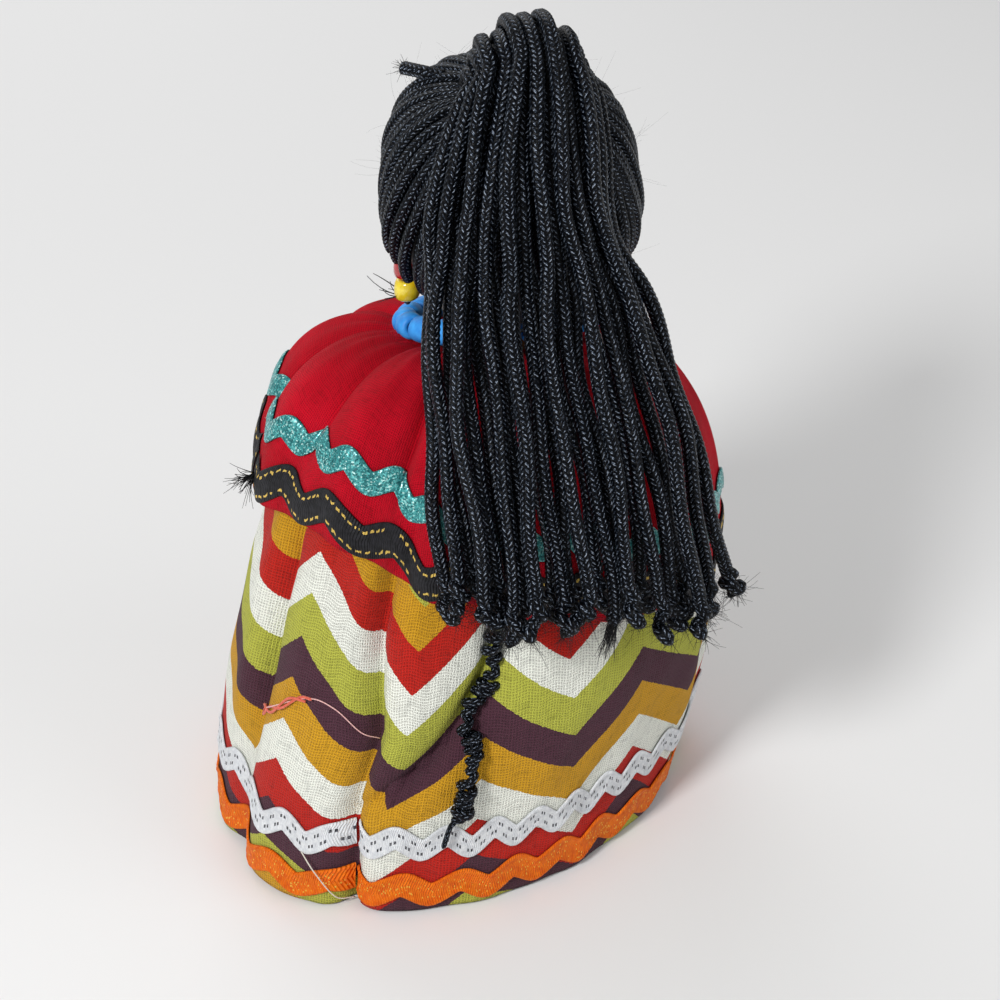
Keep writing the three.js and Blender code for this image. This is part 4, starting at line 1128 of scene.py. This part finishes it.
body = Piece("body_bag").add(rows, grid_faces(len(zs), BODY_COLUMNS)).close_ends(len(zs), BODY_COLUMNS)
body = body.make(husk, "doll", "husk", ["body_husk", "body_stuffing"])

for side, name in SIDES:
    line = spline([(side * 11.6, -1, 70.5), (side * 16.8, -1, 70.4), (side * 20, -2.3, 67.4)], 0.3)
    fat = ARM_RADIUS * interp(linspace(0, 1, len(line)), ARM_PLACES, ARM_SHAPE)
    limb = Piece("arm_%s_bag" % name)
    add_tube(limb, line, fat, ARM_SIDES, lambda turn, along: 1 + 0.02 * sin(7 * turn + along))
    limb = limb.make(husk, "doll", "husk", ["arm_" + name])

downs, turns = np.meshgrid(radians(linspace(2, 152, HEAD_ROWS)),
                           radians(arange(HEAD_COLUMNS) * 360 / HEAD_COLUMNS), indexing="ij")
d = stacked(sin(downs) * sin(turns), sin(downs) * cos(turns), cos(downs))
lumps = 0.12 * sin(6 * turns + 3 * downs) * sin(5 * downs) + 0.07 * sin(15 * turns - 9 * downs)
head = Piece("head_ball").add(on_head(d, lumps - HEAD_IN), grid_faces(HEAD_ROWS, HEAD_COLUMNS))
head.close_ends(HEAD_ROWS, HEAD_COLUMNS)
s = linspace(0, 1, 9)[:, None]
for n in range(HEAD_FIBRES):
    start = unit(array([rng.uniform(-1, 1), -abs(rng.normal(0.7, 0.5)), rng.uniform(-0.95, 0.75)]))
    heading = rng.normal(size=3) * array([1, 1, 0.8])
    heading = unit(heading - start * (heading @ start))
    reach = rng.uniform(0.15, 0.5)
    curve = start + reach * (heading * s + 0.35 * np.cross(start, heading) * rng.uniform(-1, 1) * s**2)
    path = on_head(curve, 0.14 * sin(np.pi * s[:, 0]) * rng.uniform(0.3, 1))
    add_tube(head, path, rng.uniform(0.05, 0.1) * linspace(1, 0.5, 9), 3, material=n % 2)
head = head.make([husk, husk_light], "doll", "husk", ["head_husk", "head_stuffing"])

# A plain stitched face
STITCH_LIFT, PUPIL_LIFT, STITCH_ARCH = 0.42, 0.66, 0.22


def satin(piece, x, z, width, tall, tilt, count, radius, lift=STITCH_LIFT, material=0):
    """An oval of upright satin stitches on the face, at x and z from the head's middle."""
    c, s = math.cos(math.radians(tilt)), math.sin(math.radians(tilt))
    for k in range(count):
        w = (k + 0.5) / count * 2 - 1
        reach = math.sqrt(1 - w * w) * 0.98
        line = []
        for v in linspace(-1, 1, 7):
            p, q = w * width / 2, v * reach * tall / 2
            xx, zz = x + p * c - q * s, z + p * s + q * c
            d = array([xx, -math.sqrt(HEAD_HALF[1] ** 2 - xx * xx - zz * zz), zz])
            line.append(on_head(d, lift + STITCH_ARCH * (1 - v * v)))
        add_tube(piece, array(line), radius, 5, material=material)
    return piece


for side, name in SIDES:
    eye = satin(Piece("eye_%s_stitches" % name), side * 4.6, 2.2, 3.6, 2.0, side * 4, 17, 0.13)
    satin(eye, side * 4.5, 2.2, 1.5, 1.7, side * 4, 8, 0.12, PUPIL_LIFT, 1)
    eye.make([white_stitch, black_stitch], "doll", "white_stitch", ["eye_" + name])
    brow = satin(Piece("brow_%s_stitches" % name), side * 4.7, 5.0, 4.2, 0.8, -8 * side, 16, 0.14)
    brow.make(black_stitch, "doll", "black_stitch", ["brow_" + name])
mouth = satin(Piece("mouth_stitches"), 0, -4.6, 4.6, 1.3, 0, 20, 0.13)
mouth.make(red_stitch, "doll", "red_stitch", ["mouth"])

# Thread bound round the neck
NECK_WINDS, NECK_WIND_RADIUS, NECK_WIND_Z, NECK_WIND_HIGH = 7, 8.0, 80.9, 2.2
t = linspace(0, TURN * NECK_WINDS, 420)
wind = NECK_WIND_RADIUS * stacked(sin(t), cos(t), 0)
wind[:, 2] = NECK_WIND_Z + NECK_WIND_HIGH * t / t[-1]
add_tube(Piece("neck_thread"), wind, 0.3, 6).make(binding, "doll", "binding", ["neck_binding"])

# Beads
BEAD_ROWS, BEAD_RIM, BEAD_ROUNDNESS = 26, 14, 0.8
STRAND_RADIUS, STRAND_BEADS, STRAND_TILT, STRAND_RISE, STRAND_HOLE = 13.2, 20, 17, 0.9, 0.45
EARRING_DROP, EARRING_Y, EARRING_OUT = 7.2, -1.0, 0.7
RED_DROP, YELLOW_DROP, KNOT_BELOW = 4.7, 8.0, 1.6
EARRING_BEAD = (1.85, 1.5, 0.55)


def bead(piece, centre, axis, radius, half, hole):
    """A drawn glass bead: a ring with softly rounded ends."""
    axis = unit(np.asarray(axis, float))
    side = unit(np.cross(axis, [0.3, 0.9, 0.2]))
    other = np.cross(axis, side)
    t = TURN * arange(BEAD_RIM) / BEAD_RIM
    middle, thick = (radius + hole) / 2, (radius - hole) / 2
    rr = middle + thick * np.sign(cos(t)) * np.abs(cos(t)) ** BEAD_ROUNDNESS
    hh = half * np.sign(sin(t)) * np.abs(sin(t)) ** BEAD_ROUNDNESS
    w = TURN * arange(BEAD_ROWS) / BEAD_ROWS
    spoke = side * cos(w)[:, None] + other * sin(w)[:, None]
    points = centre + rr[None, :, None] * spoke[:, None] + hh[None, :, None] * axis
    return piece.add(points, ring_faces(BEAD_ROWS, BEAD_RIM))


strand_z = CAPE_NECK_Z + STRAND_RISE
strand_centre, strand_back = array([0, 0, strand_z]), rising_back(STRAND_TILT)
strand = Piece("necklace_beads")
w = linspace(0, TURN, 160)[:, None]
ring = strand_centre + STRAND_RADIUS * (sin(w) * X_AXIS + cos(w) * strand_back)
add_tube(strand, plumb(ring, strand_z), 0.28, 6, material=1)
for k in range(STRAND_BEADS):
    w = TURN * (k + 0.5) / STRAND_BEADS
    centre = strand_centre + STRAND_RADIUS * (math.sin(w) * X_AXIS + math.cos(w) * strand_back)
    along = math.cos(w) * X_AXIS - math.sin(w) * strand_back + 0.06 * rng.normal(size=3)
    bead(strand, plumb(centre, strand_z), along, rng.uniform(1.78, 1.9), rng.uniform(1.6, 1.85), STRAND_HOLE)
strand.make([blue_bead, tie_thread], "necklace", "blue_bead", ["necklace"])

top = HEAD_Z - EARRING_DROP
low_share, front_share = EARRING_DROP / HEAD_HALF[2], -EARRING_Y / HEAD_HALF[1]
side_share = (1 - low_share**HEAD_SQUARENESS - front_share**HEAD_SQUARENESS) ** (1 / HEAD_SQUARENESS)
reach = HEAD_HALF[0] * side_share + EARRING_OUT
for side, name in SIDES:
    x = HEAD_X - LEAN * EARRING_DROP + side * reach
    hang = "earring_" + name
    for colour, drop, finish in (("red", RED_DROP, red_bead), ("yellow", YELLOW_DROP, yellow_bead)):
        centre = plumb([x, EARRING_Y, top - drop], top)
        ball = bead(Piece("%s_%s_glass" % (hang, colour)), centre, [0.04, 0.05, 1], *EARRING_BEAD)
        ball.make(finish, hang, colour + "_bead", ["%s_%s_bead" % (hang, colour)])
    thread = Piece(hang + "_knotted_thread")
    knot = top - YELLOW_DROP - KNOT_BELOW
    zs = linspace(top + 0.45, knot - 0.9, 60)
    fat = 0.22 + 0.2 * hill(zs, top, 0.35) + 0.4 * hill(zs - knot, -0.45, 0.3)
    line = plumb(stacked(x, EARRING_Y, zs), top)
    add_tube(thread, line, fat, 8, plait(0.6, 0.3))
    fray(thread, line[-8], array([0.95 * side, -0.2, 0.05]), 10, 5.4, 0.13, 0.2, curl=0.4)
    thread.make(tie_thread, hang, "black_thread", [hang + "_thread"])

# Stray threads as angles and heights on the skirt, and the frayed end of the black braid
PINK = [(71.5, 24.9), (63, 29.2), (52, 33.7), (44.5, 33.7), (38.5, 29.9), (35, 27.9)]
WHITE_END = [(47, 10.2), (43, 7.4), (39.5, 2.2), (36.5, 0.7)]
CORAL = [(72, 25.2), (68.5, 25.4), (64.5, 28.4), (59, 30.4), (54.5, 33.2), (51, 33.8)]
CORAL_OVER = [(70.5, 24.6), (67.5, 27.6), (62.5, 28.4), (57, 32.6), (52.5, 33.1)]
STRAYS = [(CORAL, 0.3, 3, 0.22), (CORAL_OVER, 0.5, 3, 0.2), (PINK, 0.5, 0, 0.09), (WHITE_END, 0.9, 1, 0.1)]
loose = Piece("stray_threads")
for route, out, finish, thick in STRAYS:
    lifts = [out + 0.3 * (k % 2) for k in range(len(route))]
    line = [round_points(a, skirt_outside(a, h) + lift, h) for (a, h), lift in zip(route, lifts)]
    add_tube(loose, spline(line, 0.4), thick, 6, material=finish)
black_end = cape_laid.at(array([87.0, 85.0]), array([2.4, 3.4]))
for end, away in zip(black_end, ((1, 0.1, -0.5), (0.8, 0.5, -0.6))):
    fray(loose, end + 0.5 * X_AXIS, unit(array(away)), 26, 3.6, 0.08, 0.45, 2)
loose.make([pink_thread, sewing_thread, black_fibre, coral_thread], "doll", "sewing_thread")

# Nodes that keep their own shape
OWN_SHAPES = {"base_disc": cardboard, "waist_thread": sewing_thread, "cape_neck_thread": red_thread}
for node, finish in OWN_SHAPES.items():
    materials = frame["nodes"][node].data.materials
    materials.clear()
    materials.append(finish)

# Floor and light
FLOOR_HALF, FLOOR_Z, ROOM_LIGHT = 3, -0.00005, 0.4
corners = [(x * FLOOR_HALF, y * FLOOR_HALF, FLOOR_Z) for x, y in ((-1, -1), (1, -1), (1, 1), (-1, 1))]
mesh = bpy.data.meshes.new("floor")
mesh.from_pydata(corners, [], [(0, 1, 2, 3)])
floor = in_scene("floor", mesh)
pale = Finish("floor", roughness=0.9, specular=0.1)
pale.set("Base Color", (0.8, 0.8, 0.8, 1))
mesh.materials.append(pale.material)

room = bpy.data.worlds.new("room")
room.use_nodes = True
sky = room.node_tree.nodes["Background"]
sky.inputs["Color"].default_value = (1, 1, 1, 1)
sky.inputs["Strength"].default_value = ROOM_LIGHT
bpy.context.scene.world = room


def lamp(name, place, size, power):
    data = bpy.data.lights.new(name, "AREA")
    data.shape = "DISK"
    data.size = size
    data.energy = power
    obj = in_scene(name, data)
    obj.location = place
    obj.rotation_mode = "QUATERNION"
    obj.rotation_quaternion = (target - Vector(place)).to_track_quat("-Z", "Y")


lamp("key", (0.42, 0.42, 0.5), 0.17, 4.0)
lamp("fill", (-0.5, 0.35, 0.4), 0.5, 1.0)
lamp("front", (0.1, -0.55, 0.45), 0.6, 1.4)
bpy.context.scene.view_settings.view_transform = "Standard"
